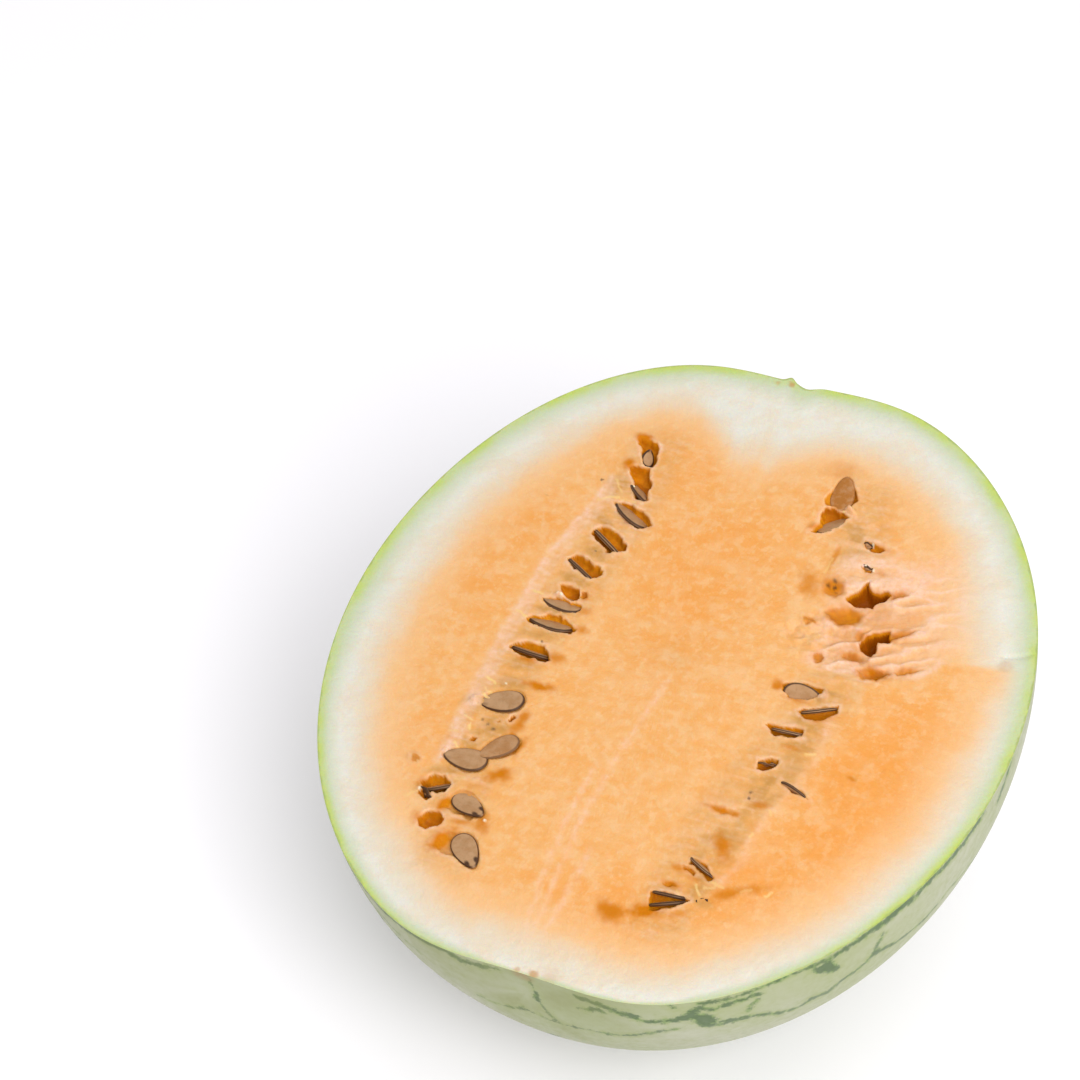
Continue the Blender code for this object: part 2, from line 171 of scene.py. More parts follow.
HOLLOWS = [
    Hollow([(-41.7, 73.2), (-37.4, 73.9), (-35.1, 73.4), (-33.2, 69.7), (-32.5, 65.4), (-33.2, 63.6),
           (-35.1, 63.6), (-37.7, 66), (-39.4, 69.7)], 3, 0.9),
    Hollow([(-40, 62.3), (-36, 63.2), (-32.9, 62.6), (-30.9, 57.2), (-29.8, 51.6), (-30.9, 50.4),
           (-33.7, 51.6), (-36, 56.7), (-38.3, 59.5)], 3.4, 0.9),
    Hollow([(-39.1, 47.9), (-33.7, 48.4), (-29.2, 47.6), (-25.5, 44.5), (-24.8, 43.1), (-27.2, 41.1),
           (-30.9, 41.6), (-35.4, 44.5)], 2.6, 0.8),
    Hollow([(-40.8, 36.8), (-39.1, 38.2), (-36, 38.6), (-31.5, 36.5), (-28.2, 32.3), (-30.9, 30.3),
           (-33.2, 30.3), (-36.2, 32.4), (-38.6, 33.2), (-40.2, 34.8)], 3, 0.7),
    Hollow([(-43.8, 24.1), (-42.2, 26.3), (-38.3, 26), (-35.4, 24.6), (-33.2, 24.1), (-31.5, 21.8),
           (-34.6, 19), (-39.4, 21.2)], 3, 0.7),
    Hollow([(-41.8, 14.8), (-38.5, 15.3), (-36, 14.7), (-34.9, 12), (-35.6, 10.9), (-38.6, 10.7),
           (-40.6, 12.2)], 3, 0.6),
    Hollow([(-34.8, 13.9), (-33.2, 14.3), (-32.4, 12.9), (-33.6, 11.7), (-34.8, 12.2)], 1.1, 0.6),
    Hollow([(-45.6, 8.6), (-40, 10.4), (-35, 10), (-32.2, 8.6), (-33.4, 7), (-38, 6.2), (-43, 6.6)], 1.6,
           0.7),
    Hollow([(-46.6, 0.8), (-42, 3.2), (-38, 4.2), (-34.6, 3.2), (-31, 1.2), (-32.4, -0.6), (-38, -1.5),
           (-44, -1.2)], 2, 0.7),
    Hollow([(-47.4, -10.6), (-44.7, -7.9), (-40.9, -6.9), (-37, -7), (-35.2, -9), (-34.2, -11.6),
           (-37.1, -12.2), (-44.7, -12)], 2.8, 0.7),
    Hollow([(-37.2, -34.2), (-36.2, -31.6), (-35.2, -32.2), (-36.2, -34.4)], 2.4, 0.5),
    Hollow([(-39.8, -35.8), (-39, -34.6), (-38.6, -35.4)], 1.2, 0.5),
    Hollow([(-44.8, -43), (-43.2, -42.6), (-43.4, -44.2), (-44.6, -44.2)], 1.3, 0.5),
    Hollow([(-51.6, -60.8), (-49.1, -57.3), (-45.9, -57.1), (-43.5, -59.2), (-44.3, -61.9), (-48.3, -63.4)],
           3.2, 0.7),
    Hollow([(-50.8, -63.2), (-48.6, -62.8), (-46.4, -64.6), (-47.6, -65.8), (-50.4, -64.8)], 1.4, 0.7),
    Hollow([(-48.2, -72.2), (-45.9, -69), (-42.8, -68.4), (-40.2, -70.3), (-40.6, -72.5), (-44, -74.4),
           (-46.6, -73.8)], 3.2, 1),
    Hollow([(-42.8, -67), (-42.2, -63), (-39, -60.6), (-33.6, -61.4), (-31, -65.2), (-33.6, -68.6),
           (-38, -67.6)], 1.2, 1.4),
    Hollow([(-40.2, -77.9), (-38.3, -73.5), (-34.5, -72), (-30.4, -73), (-26, -78.6), (-27, -82.6),
           (-33, -80.4), (-37.1, -80.7)], 1.3, 1.4),
    Hollow([(23.4, 76.4), (20.4, 68.2), (21.6, 65), (28.2, 65.2), (30.2, 69.8), (27.4, 73.8)], 1.2, 0.9),
    Hollow([(22, 64.6), (26.5, 64.3), (29.8, 63), (27.8, 58.6), (23.6, 54.9), (20.1, 54.7), (22.2, 57.8),
           (21.6, 60.9)], 3, 0.8),
    Hollow([(36.6, 56.2), (40.8, 56), (44.4, 54.8), (41.4, 53.2), (37.4, 53.6)], 1.6, 1),
    Hollow([(38.6, 47.4), (42.4, 46.8), (43.6, 45.6), (40.6, 45.2)], 1.3, 0.8),
    Hollow([(38.6, 34.6), (39.6, 37.4), (41.6, 39.2), (42.4, 41.6), (43.4, 42.4), (44.4, 40.4), (46.6, 39.8),
           (48.8, 40.8), (50.6, 40.4), (49.2, 37.6), (47.6, 35.6), (46.8, 33.8), (44, 33.2), (41.5, 33.2)],
           5.2, 1.8),
    Hollow([(30.6, 35.6), (31.2, 39.6), (33.6, 42.2), (36.6, 40.6), (38.4, 37), (36.8, 33.6), (33, 33)], 1.1,
           2.6),
    Hollow([(49.6, 40.6), (54, 41.4), (57, 43.6), (54.4, 40), (50.6, 38.2)], 1.2, 1.2),
    Hollow([(34, 28.6), (36, 32), (41.4, 33.4), (46.2, 31.6), (45.6, 28.6), (43.6, 26.1), (40.4, 24.2),
           (36.6, 25.5)], 1.9, 3.4),
    Hollow([(47.6, 21), (49.1, 24.6), (51.4, 26.8), (54.6, 28.4), (56, 26), (55, 23), (52.6, 22.9),
           (53.4, 20), (52.1, 18.2), (49.3, 18.8)], 5.2, 1.8),
    Hollow([(54, 28), (58.6, 28.6), (62.8, 31.2), (61, 28.4), (57.6, 26.2), (54.6, 24)], 1.5, 1.6),
    Hollow([(45.6, 24), (48, 26.6), (50.6, 27.6), (48.4, 23), (47.6, 20.4)], 1, 1.8),
    Hollow([(43, 17.4), (46, 18.6), (50.4, 17.2), (53.6, 16), (52, 14.4), (47.6, 14), (44.2, 15.2)], 1.2,
           2.2),
    Hollow([(49.6, 12.4), (54, 14.6), (58.8, 15.6), (60.4, 14.2), (57.8, 11.8), (56.4, 9.8), (52, 9.6)], 2.6,
           2.4),
    Hollow([(59.4, 15.2), (63.4, 16.6), (68.4, 18.4), (66.2, 16), (61.4, 13.8)], 1.3, 1.4),
    Hollow([(36.8, 13), (38.4, 14.6), (40.2, 14), (40, 11.6), (38, 11)], 0.9, 1),
    Hollow([(29.4, 25.2), (32.4, 26.2), (34, 24), (30.8, 22.8)], 0.7, 1),
    Hollow([(32, 1.8), (34.8, 2.8), (40, 3), (44, 2.4), (43.4, 0.2), (40, -2), (36, -2.2), (32.6, -0.8)],
           1.7, 0.8),
    Hollow([(39.4, -6.2), (44.4, -3.6), (49.8, -1), (50.2, -3.8), (46, -7.4), (41.8, -7.8)], 2.2, 0.8),
    Hollow([(32.8, -13.2), (34.6, -12), (37.4, -12.2), (43.4, -11.6), (43.8, -14.2), (40, -15.6),
           (35.4, -15.2)], 2.3, 0.7),
    Hollow([(35, -25), (36.6, -23.8), (38.2, -23.2), (40.4, -23), (40.2, -25.8), (37.6, -27.8), (36, -27.2)],
           2.8, 0.7),
    Hollow([(43.4, -30.4), (47.6, -30.4), (53, -33), (49.4, -32.6), (46.6, -31.6)], 1.5, 0.5),
    Hollow([(26.2, -42.8), (31, -42.4), (36.2, -42.4), (35.6, -44.6), (29, -44.4)], 0.6, 1.2),
    Hollow([(29.6, -60.2), (33.6, -60.8), (37.6, -64.2), (36.4, -65.2), (32, -63), (29.4, -61.8)], 1.4, 0.6),
    Hollow([(27.8, -62.6), (29.4, -62.8), (32.6, -64.6), (32.2, -65.6), (28.8, -64.2)], 1.2, 0.6),
    Hollow([(22.6, -73.4), (28, -72.4), (33.6, -72.2), (32.8, -74.4), (29, -76.8), (24.4, -78.8),
           (23.6, -76.4)], 2, 0.8),
    Hollow([(-58.2, -53.4), (-56.6, -52.8), (-55.2, -54.2), (-56.2, -55.6), (-58, -55)], 0.8, 0.8),
    Hollow([(24.6, -69.6), (26.6, -68.6), (29.6, -69.6), (26.6, -70.4)], 1.1, 0.7),
]

# Amber patches in the flesh without a deep hollow: partly flesh soaked amber, partly
# painted shade beside the seeds and hollows
AMBER_PATCHES = [
    Patch(-40, 74, 0, 9, 4.5, 0.9), Patch(-40.4, 63, -30, 6, 5, 0.9), Patch(-28, 44, -30, 8, 5, 0.6),
    Patch(-33, 12.6, 0, 4, 4, 0.6), Patch(-31.2, 7.6, 0, 6, 4, 0.5), Patch(-29.6, 1.2, -10, 6, 4, 0.7),
    Patch(-40.6, -13, 0, 8, 3.4, 0.8), Patch(-32.8, -10.4, 0, 8, 5, 0.7),
    Patch(-33.4, -20.8, -4, 12, 3.8, 0.95), Patch(-30.4, -20.4, 0, 6, 3.4, 0.8),
    Patch(-33.4, -34.4, 80, 14, 5.4, 0.8), Patch(-30, -41.5, 80, 9, 4, 0.8),
    Patch(-31.6, -52, 35, 10, 7, 0.85), Patch(-36.5, -57.5, 20, 8, 4, 0.3),
    Patch(-29.6, -67.6, -65, 9, 5, 0.8), Patch(-35, -69.4, 10, 9, 3, 0.6),
    Patch(-42.2, -65, 70, 9, 4.4, 0.95), Patch(-38.4, -76.5, 60, 12, 8, 1), Patch(-48, -71.8, 20, 5, 6, 0.7),
    Patch(-51.4, -61, 40, 5, 4, 0.6), Patch(22, 79, 20, 14, 8, 0.35), Patch(20.6, 56.5, 40, 6, 4, 0.6),
    Patch(42.6, 54.6, -5, 7, 3, 0.5), Patch(45.4, 46.2, -5, 6, 3, 0.35), Patch(30.6, 47, 88, 14, 2.4, 0.6),
    Patch(27, 36.6, -60, 14, 9, 0.6), Patch(33.6, 37.8, -60, 11, 9, 0.85), Patch(40.5, 29, 0, 14, 10, 0.75),
    Patch(52.6, 40.6, 20, 9, 4, 0.6), Patch(57, 26.8, 35, 12, 5.4, 0.8), Patch(47.2, 23.4, 70, 9, 5, 0.7),
    Patch(47, 16.4, -12, 11, 6, 0.7), Patch(55, 12.6, 10, 13, 7, 0.85), Patch(63, 15.8, 25, 11, 4, 0.6),
    Patch(38.4, 12.8, 0, 5, 5, 0.6), Patch(31.6, 24.6, 0, 6, 5, 0.35), Patch(31, 0.4, 0, 5, 5, 0.8),
    Patch(38, -2.8, 0, 10, 2.4, 0.6), Patch(46.4, -6.6, 25, 10, 4.4, 0.9), Patch(43, -18.4, 0, 9, 2.4, 0.5),
    Patch(31.4, -43.3, -2, 12, 3, 1), Patch(40.6, -38.6, 10, 7, 3, 0.6), Patch(35.6, -54, -58, 12, 6, 0.75),
    Patch(27.6, -64.2, 0, 8, 4, 0.7), Patch(32, -66, 0, 6, 2.4, 0.5), Patch(27.4, -69.4, -8, 7, 2.6, 0.7),
    Patch(28, -75.4, 14, 11, 5, 0.6), Patch(23.6, -79.4, 18, 13, 7.5, 1), Patch(15, -82.4, -8, 12, 9, 0.8),
    Patch(32, -77.4, 30, 7, 3.4, 0.5), Patch(42.5, -67.6, 35, 14, 5, 0.75),
    Patch(48.6, -63.6, 25, 10, 4, 0.5), Patch(61.3, -22.9, -10, 5, 2.2, 0.7),
]

# Brown see-through tissue round the seeds
TISSUE_PATCHES = [
    Patch(-39.5, -38, 30, 13, 11, 1), Patch(-41, -22, 0, 13, 6, 0.9), Patch(-45, -30.6, 0, 8, 7, 0.9),
    Patch(-36.4, 28.4, -14, 10, 5, 1), Patch(-38.2, 17.4, -10, 11, 5, 1), Patch(-41, 55, -30, 9, 9, 0.8),
    Patch(-38, 40.2, -30, 12, 4, 0.9), Patch(-41.5, -15, 0, 12, 6, 0.7), Patch(-41, 4.9, 0, 14, 3, 0.9),
    Patch(-40, -4, 0, 12, 4, 0.7), Patch(-50.6, -31.4, 0, 6, 5, 0.8), Patch(-43.5, -44.5, 0, 9, 4, 0.8),
    Patch(-47, -55.4, 20, 12, 4, 0.8), Patch(-50.4, -62.4, 40, 8, 6, 0.9), Patch(-40.4, -68, 20, 8, 3, 0.5),
    Patch(-57, -54.2, 0, 5, 5, 0.7), Patch(33.6, 57.6, -35, 13, 6, 1), Patch(36, 50, 60, 9, 7, 0.6),
    Patch(34.2, 38.6, -60, 7, 6, 0.8), Patch(28.6, 63, -30, 7, 4, 0.6), Patch(45.6, 0.6, -20, 9, 7, 0.9),
    Patch(41.6, -8.6, 0, 8, 6, 0.9), Patch(45, -12, 80, 9, 8, 0.4), Patch(43.6, -18, 0, 10, 6, 0.5),
    Patch(45.4, -25, 80, 11, 9, 0.4), Patch(40, -30.4, 10, 10, 4, 0.8), Patch(38.6, -36, 70, 9, 7, 0.9),
    Patch(43, -36, 60, 9, 5, 0.6), Patch(34.2, -52, 60, 14, 9, 0.8), Patch(39, -52, 80, 12, 6, 0.4),
    Patch(31, -58.6, -30, 8, 4, 0.5), Patch(34.6, -64.8, 0, 7, 4, 0.7), Patch(35.5, -69, 40, 9, 5, 0.8),
    Patch(27, -71, 5, 10, 3, 0.6), Patch(38, -72.6, 0, 7, 4, 0.7),
]

# Where ripe flesh is deepest orange
DEEP_PATCHES = [
    Patch(70, -30, 80, 106, 62, 1), Patch(48, -62, 60, 70, 44, 0.8), Patch(10, -82, 0, 60, 30, 0.5),
    Patch(-12, 74, 60, 60, 60, 0.6), Patch(-64, 22, 85, 100, 40, 0.35), Patch(-60, -50, 60, 70, 44, 0.3),
    Patch(-2, 28, 80, 100, 60, 0.55), Patch(20, 62, 0, 40, 40, 0.35),
]

# Whitish flesh in the torn ground
PALE_PATCHES = [
    Patch(36.4, 46.4, 60, 14, 9, 1), Patch(55, 34, 25, 16, 8, 0.8), Patch(49, 47, 10, 16, 6, 0.6),
    Patch(58, 20, 25, 16, 6, 0.7), Patch(50, 31, 30, 10, 5, 0.8), Patch(33, 58, 0, 5, 3, 0.4),
    Patch(62, 50, 60, 34, 16, 0.5),
]

# Bands of see-through tissue that hold the seeds
LEFT_BAND = [
    (-43.4, 59), (-39.6, 50), (-42.4, 37), (-45.2, 24), (-46.4, 8), (-47.2, -6), (-46.6, -20),
    (-47, -36), (-46.6, -46), (-50, -55), (-52.6, -46), (-52.2, -35), (-52.2, -19), (-52.4, -5),
    (-51.6, 0), (-51.2, 22), (-48.4, 34), (-45.2, 51),
]

RIGHT_BAND = [
    (42.6, 2), (49.3, 0), (49.4, -20), (46.2, -34), (44, -40), (42.3, -50), (42.3, -58), (39.6, -65),
    (33, -69), (34, -56), (36, -46), (37, -38), (40, -30), (41, -22), (42, -14), (43, -6),
]

# Pale lines beside the rows of seeds, and veins down the middle
LEFT_LINE = [
    (-43.5, 56), (-44.2, 51), (-47.3, 34), (-50.4, 22.6), (-50.9, 0), (-51.5, -5), (-51, -19),
    (-51, -35.5), (-49, -47), (-51, -53),
]

RIGHT_LINE = [
    (49.3, 0), (49.6, -20.8), (46.2, -34.6), (44.1, -39.4), (42.3, -50.4), (42.4, -57.9), (39.6, -65),
]

VEINS = [
    [(-1.5, -103), (-3, -80), (-4, -55), (-2, -30), (1, -8)],
    [(-3, -103), (-6.5, -82), (-8, -58), (-7, -40)],
    [(-0.5, -103), (1.5, -86), (2.2, -66)],
]

# Lower edge of the torn ground, and a crack in the rind beside it
TORN_EDGE = [(47, 9), (56.9, 10.4), (67.6, 13.5), (70.2, 16.6), (74, 23), (79, 26.2), (90, 26.7)]
RIND_CRACK = [(87.5, 28), (91.5, 29.5), (96.5, 34)]

# Where the flesh left of the torn ground is flaked
FLAKED = Patch(34, 18, 20, 26, 20, 1)

# A raised bit of flesh in the lower left
BUMP = Patch(-57, -54.3, 0, 3.4, 3, 0.9)

# Flesh that lies over the ends of seeds
COVERS = [
    Patch(-48.4, -30.6, 20, 5, 4.4, 0.9), Patch(-46.4, -28.4, -20, 4.6, 1.6, 0.8),
    Patch(45, 0, -10, 4.6, 4.4, 1), Patch(-40.6, 10.9, 10, 4.4, 1.8, 1.2), Patch(29, 65.3, -20, 6, 1.8, 1.2),
    Patch(-49.6, -49.4, 20, 2.6, 2, 0.7),
]

# Yellow fibres torn out of the flesh: two ends and how strong each is
STRAWS = [
    (-49, -22.4, -45.6, -23.4, 1), (-47.6, -28.2, -44.6, -29.4, 1), (-49.2, -36.6, -46.6, -37.2, 0.8),
    (-46.8, -38.6, -46.2, -40.6, 1), (-48.4, -45.8, -46.2, -47.6, 0.9), (-51.2, -42.6, -49.4, -41.8, 0.6),
    (-47.8, -26, -45.6, -27, 0.7), (-50.2, 2.2, -46.6, 0.8, 0.9), (-48.8, 10.6, -45.4, 10, 0.9),
    (-42.2, 48.6, -38, 50, 0.8), (-41.6, 56.6, -38.4, 52.2, 0.6), (-37.4, 49.8, -33, 49.8, 0.5),
    (-44, 47.6, -40.6, 49.6, 0.5), (-34, -5.2, -33, -3.4, 0.4), (-53.8, -66.6, -51.6, -64, 0.6),
    (-43, -57, -40.4, -56, 0.5), (29, 61.4, 27.4, 64.4, 0.8), (30.4, 47, 29.8, 41.6, 0.5),
    (49, -18.6, 47, -19.4, 0.8), (44, -39.4, 44.6, -40.8, 0.7), (42, -47.6, 41.6, -49.2, 0.8),
    (33.4, -67.6, 35.8, -70.4, 0.8), (29.4, -71, 31, -73, 0.5), (52.4, -64.8, 53.8, -63.4, 0.8),
    (48.2, -64.2, 45.6, -65.6, 0.4), (37.2, -65.2, 40.6, -66.2, 0.6), (36, -68, 38.8, -66.6, 0.5),
]

# Small wet torn bits, raised a little, with painted white highlights on them
PAINTED_GLINTS = [
    (-35.2, 55.2, 0.6), (-33.9, 53.4, 0.5), (-51.2, -63, 0.45), (-42.2, -71.8, 0.55), (-41.2, -71.3, 0.45),
    (-42.6, -22.8, 0.4), (-41.2, 11.2, 0.5), (-39.8, 10.9, 0.6), (-38.8, 11.6, 0.4), (42.9, 46.3, 0.5),
    (39.6, 55.4, 0.5), (38.8, 54, 0.4), (36.4, -27.4, 0.4), (-29.2, -67, 0.5), (40.4, 47.2, 0.4),
    (37.4, 55.2, 0.4),
]

# Fine dark specks of dried seed skin
SPECKS = [
    (33.6, 40, 0.6), (32.3, 37.6, 0.6), (34.2, 38, 0.4), (35.2, 36.6, 0.45), (-41.6, -37.4, 0.45),
    (-43.9, -36.4, 0.4), (-39.6, -38.2, 0.35), (36.9, -35.6, 0.5), (37.3, -37.6, 0.35), (32.4, -49.6, 0.3),
    (-36.6, 29.2, 0.2), (-59.4, 44.8, 0.2), (-45.8, 55, 0.15), (-38.9, -5.8, 0.25),
]

# Dried spots and yellow spots near the rim: place, size and how strong
STAINS = [
    (3.4, -106.8, 1.4, 0.7), (-1.6, -107.2, 1, 0.5), (8, -106, 3, 0.25), (-4.6, 106.4, 1, 0.7),
    (-9.5, 106.2, 0.9, 0.5), (88.8, 25.6, 2.2, 0.4),
]

# Width of rind and skin, in mm, at angles round the cut face from +x
RIND_WIDTHS = [
    (-180, 16.5), (-155, 15.5), (-130, 13.5), (-105, 10), (-80, 9), (-50, 8), (-15, 9), (4, 8.5),
    (14.6, 5.5), (16.4, 15.5), (24, 17), (45, 14), (60, 16), (80, 20.5), (90, 28), (99, 30), (107, 18),
    (115, 15), (150, 17), (180, 16.5),
]

# How far in the green of the skin reaches, in mm, at those angles
GREEN_WIDTHS = [
    (-180, 9), (-150, 6), (-125, 5), (-105, 3.4), (-92, 1.4), (-68, 1.4), (-50, 3.6), (-30, 5), (0, 7),
    (60, 8), (180, 9),
]

# A seed's profile from the middle of its face to its edge: share of its outline and
# share of its half thickness
SEED_PROFILE = [
    (0.1, 1), (0.25, 0.99), (0.4, 0.97), (0.52, 0.96), (0.62, 0.94), (0.7, 0.92), (0.77, 0.9), (0.83, 0.87),
    (0.88, 0.82), (0.915, 0.74), (0.94, 0.66), (0.965, 0.53), (0.983, 0.4), (0.994, 0.26), (1, 0.12),
]

# Middles of the two dimples, in the fruit's own axes
STEM_POLE = np.array([0, -107.5, 0])
BLOSSOM_POLE = np.array([0, 107.5, 0])

# What the net's marks hold where no stripe or line is near, in mm
FAR_OFF = -9.0

# Single lines beside the cut, from point to point: the angle from the blossom end,
# the angle round from straight down, both in degrees, and the half width in mm
DRAWN = [
    [(151.6, 88.8, 0.7), (148.3, 87.8, 0.4), (144.2, 88.7, 0.4), (140.3, 89.4, 0.6), (136.4, 89.4, 0.6),
     (132.9, 88.6, 1.1), (129.1, 88.6, 1), (125.2, 89.2, 0.9), (122.8, 88.8, 1.2), (119.8, 89.4, 1.5),
     (117.2, 88.7, 1.1), (113.5, 89.4, 1.1), (110, 89.1, 1.1), (106.3, 89.1, 1.3), (103.9, 89.4, 1.3),
     (101, 89.4, 0.9)],
    [(151.1, 78.2, 2.6), (148.9, 73.6, 0.9), (145.4, 74.4, 0.6), (141.8, 73.3, 0.7), (138.4, 70.2, 0.8),
     (135.4, 69.6, 0.6), (133.6, 72.3, 1.1), (130.7, 71.5, 0.8), (129, 75, 0.8), (126, 76.3, 0.8),
     (124, 79.1, 1.1), (119.7, 76.4, 0.8), (116.8, 75.7, 0.6), (113.3, 75, 0.5), (108.1, 78, 0.5),
     (103, 75.9, 0.5), (98.9, 74.2, 0.5), (95, 75.3, 0.4), (89, 77, 0.4), (83, 80, 0.4), (76, 78, 0.9),
     (69, 74, 1.5), (62, 75, 2.2), (54, 71, 2), (46, 74, 2.4), (38, 70, 1.6), (29, 73, 1.3), (20, 69, 1),
     (10, 70, 0.7)],
    [(84, 66, 0.4), (77, 69, 1), (69, 74, 1.2)],
    [(58, 74, 1), (53, 80, 1.3), (47, 84, 0.9), (41, 83, 0.5)],
    [(40, 70, 1), (36, 64, 1.1), (37, 59, 0.5)],
    [(122.9, 84.7, 0.8), (123.8, 82.1, 0.8), (124, 78.5, 0.9)],
    [(144.5, 77.6, 0.5), (143.8, 81.8, 0.6), (142.9, 83.6, 0.5)],
    [(134.3, 87.1, 1.1), (132.7, 86.1, 2.3), (130.9, 82.6, 1.4)],
    [(138, -88.9, 0.6), (150, -89.2, 0.9), (157.6, -89.2, 1), (162.7, -88.8, 1.1), (167.2, -88.2, 1.2),
     (169.1, -81.2, 1.2), (171.8, -78.2, 1), (175.9, -77.1, 0.4)],
    [(146, -84, 0.3), (152, -80, 0.35), (155.7, -76.6, 0.3), (158, -73.8, 0.3), (160.1, -68.5, 0.2)],
    [(163.7, -35.6, 0.3), (165.1, -23.1, 0.4), (168.2, -7, 0.4), (167.3, 6.9, 0.5), (166, 19, 0.5)],
    [(178, 27.6, 0.3), (172.6, 12.7, 0.4), (168.7, 15.5, 0.4), (166, 19, 0.5), (164, 36.9, 0.3),
     (161.4, 45.8, 0.4), (158.5, 58.7, 0.5), (156.7, 65.1, 0.4), (154.3, 69.7, 0.4)],
    [(170.8, 78.7, 0.5), (167.5, 79.9, 1.1), (164.8, 77.3, 1.3), (161.9, 76.2, 1.1), (159.2, 73.1, 1),
     (156.9, 76, 0.9), (153.5, 79.3, 1.4), (151.9, 85.8, 1.1), (149.5, 83.7, 0.6), (146.8, 85.2, 0.6),
     (142.7, 86.2, 0.8)],
    [(169.5, 59.5, 0.6), (168.1, 66.4, 1.4), (166.9, 71, 1.2)],
    [(153.1, 80.1, 1.6), (151.5, 78.6, 2.3), (150.4, 72.9, 1.8), (148.6, 71.9, 1), (146.2, 72.9, 0.6),
     (142.1, 73.3, 0.5)],
    [(155.8, 88.7, 0.8), (155.6, 87.3, 0.6)],
    [(91.7, 89.3, 0.5), (94, 88.3, 0.9), (95.9, 86.4, 1.1), (96.5, 85.6, 0.5)],
]

# Stripes of the net: angle round the fruit from straight down, in degrees, half
# width in mm, and the seed of its own waves
Stripe = namedtuple("Stripe", "around half wave")
STRIPES = [
    Stripe(50, 3.6, 2),
    Stripe(27, 5.0, 5),
    Stripe(4, 4.0, 7),
    Stripe(-20, 5.2, 4),
    Stripe(-44, 4.4, 6),
    Stripe(-68, 3.0, 8),
]


def srgb(red, green, blue):
    """A linear colour from the 0 to 255 values that a screen shows."""
    def line(value):
        share = value / 255
        return share / 12.92 if share <= 0.04045 else ((share + 0.055) / 1.055) ** 2.4
    return (line(red), line(green), line(blue))


def colour_setting(name, description, red, green, blue):
    """A colour that the user can change."""
    return FloatVectorProperty(
        name=name, description=description, subtype="COLOR", size=3, min=0, max=1,
        default=srgb(red, green, blue),
    )


STAIN = srgb(181, 132, 73)
SPECK = (0.06, 0.03, 0.014)
# Colour of the painted highlights on the small wet torn bits
PAINTED_GLINT = (0.8, 0.7, 0.52)
SEED_LIGHT = srgb(185, 146, 108)
SEED_SHADE = srgb(154, 104, 53)
SEED_DUST = srgb(117, 83, 53)


class MelonFleshSettings(bpy.types.PropertyGroup):
    """Colours of the cut face."""

    flesh: colour_setting("Flesh", "Ripe flesh between the seeds", 223, 163, 93)
    flesh_pale: colour_setting("Pale flecks", "Dry flecks in the flesh", 225, 181, 130)
    flesh_deep: colour_setting("Deep flesh", "Wettest, ripest flesh", 223, 148, 62)
    fibre: colour_setting("Fibre", "Torn fibres and veins", 229, 190, 164)
    blush: colour_setting("Blush", "Where flesh turns into rind", 214, 197, 172)
    rind: colour_setting("Rind", "White of the rind", 212, 209, 197)
    rind_green: colour_setting("Green rind", "Rind next to the skin", 188, 196, 168)
    skin_line: colour_setting("Skin line", "Cut edge of the skin", 178, 195, 94)
    skin_edge: colour_setting("Skin edge", "Outermost skin", 148, 166, 95)
    amber: colour_setting("Amber", "Walls of the seed pockets", 172, 96, 8)
    amber_light: colour_setting("Light amber", "Wet floors of the pockets", 208, 130, 14)
    # Painted shade: the darker amber inside the two deepest hollows
    amber_painted_shade: colour_setting("Deep amber", "Bottoms of the deepest pockets", 150, 76, 4)
    # Soaked amber, also used for painted shade beside seeds and between torn strands
    soaked: colour_setting("Soaked", "Flesh soaked by a pocket", 195, 114, 7)
    tissue: colour_setting("Tissue", "Skins round the seeds", 192, 138, 66)
    straw: colour_setting("Straw", "Yellow torn fibres", 226, 190, 122)
    grain: FloatProperty(
        name="Grain", description="Strength of the flesh's fine relief", default=0.8, min=0, max=1
    )


class MelonSkinSettings(bpy.types.PropertyGroup):
    """Colours of the outside."""

    pale: colour_setting("Pale skin", "Ground between the stripes", 165, 167, 140)
    shade: colour_setting("Shaded skin", "Greener clouds in the ground", 151, 157, 115)
    stripe: colour_setting("Stripe", "Dark net of the stripes", 64, 90, 47)
    stripe_light: colour_setting("Stripe light", "Inside of the stripes", 117, 141, 77)
    fleck: colour_setting("Fleck", "Yellow green flecks beside the net", 141, 151, 92)
    olive: colour_setting("Olive", "Streaks round the stem end", 139, 144, 96)
    olive_line: colour_setting("Olive line", "Lines round the stem end", 96, 108, 49)
    scar: colour_setting("Scar", "Dry brown marks", 150, 108, 70)


class MelonSeedSettings(bpy.types.PropertyGroup):
    """Sizes and colours of the seeds."""

    length: FloatProperty(
        name="Length", description="A full seed's length", default=SEED_LENGTH * MM, unit="LENGTH"
    )
    width: FloatProperty(
        name="Width", description="A full seed's width", default=SEED_WIDTH * MM, unit="LENGTH"
    )
    thickness: FloatProperty(
        name="Thickness", description="A full seed's thickness", default=SEED_THICKNESS * MM, unit="LENGTH"
    )
    face: colour_setting("Face", "Flat of the seed", 168, 129, 90)
    soaked: colour_setting("Soaked face", "Coat of an amber seed", 166, 103, 35)
    rim: colour_setting("Rim", "Dark line round the seed", 70, 44, 24)
    seam: colour_setting("Seam", "Pale seam on the seed's edge", 161, 125, 90)


class MelonStageSettings(bpy.types.PropertyGroup):
    """Camera and lights."""

    azimuth: FloatProperty(
        name="Azimuth", description="Camera's turn from +Y", subtype="ANGLE", default=math.radians(23.85)
    )
    elevation: FloatProperty(
        name="Elevation", description="Camera's height", subtype="ANGLE", default=math.radians(44.92)
    )
    lens: FloatProperty(name="Lens", description="Focal length in mm", default=94.27)
    sky: FloatProperty(name="Sky", description="Strength of the even light", default=0.73, min=0)
    key: FloatProperty(name="Key", description="Power of the large light, in watts", default=16.8, min=0)
    top: FloatProperty(name="Top", description="Power of the light overhead, in watts", default=3.0, min=0)


def smooth_step(low, high, value):
    """0 below low, 1 above high, and smooth between them."""
    share = np.clip((value - low) / (high - low), 0, 1)
    return share * share * (3 - 2 * share)


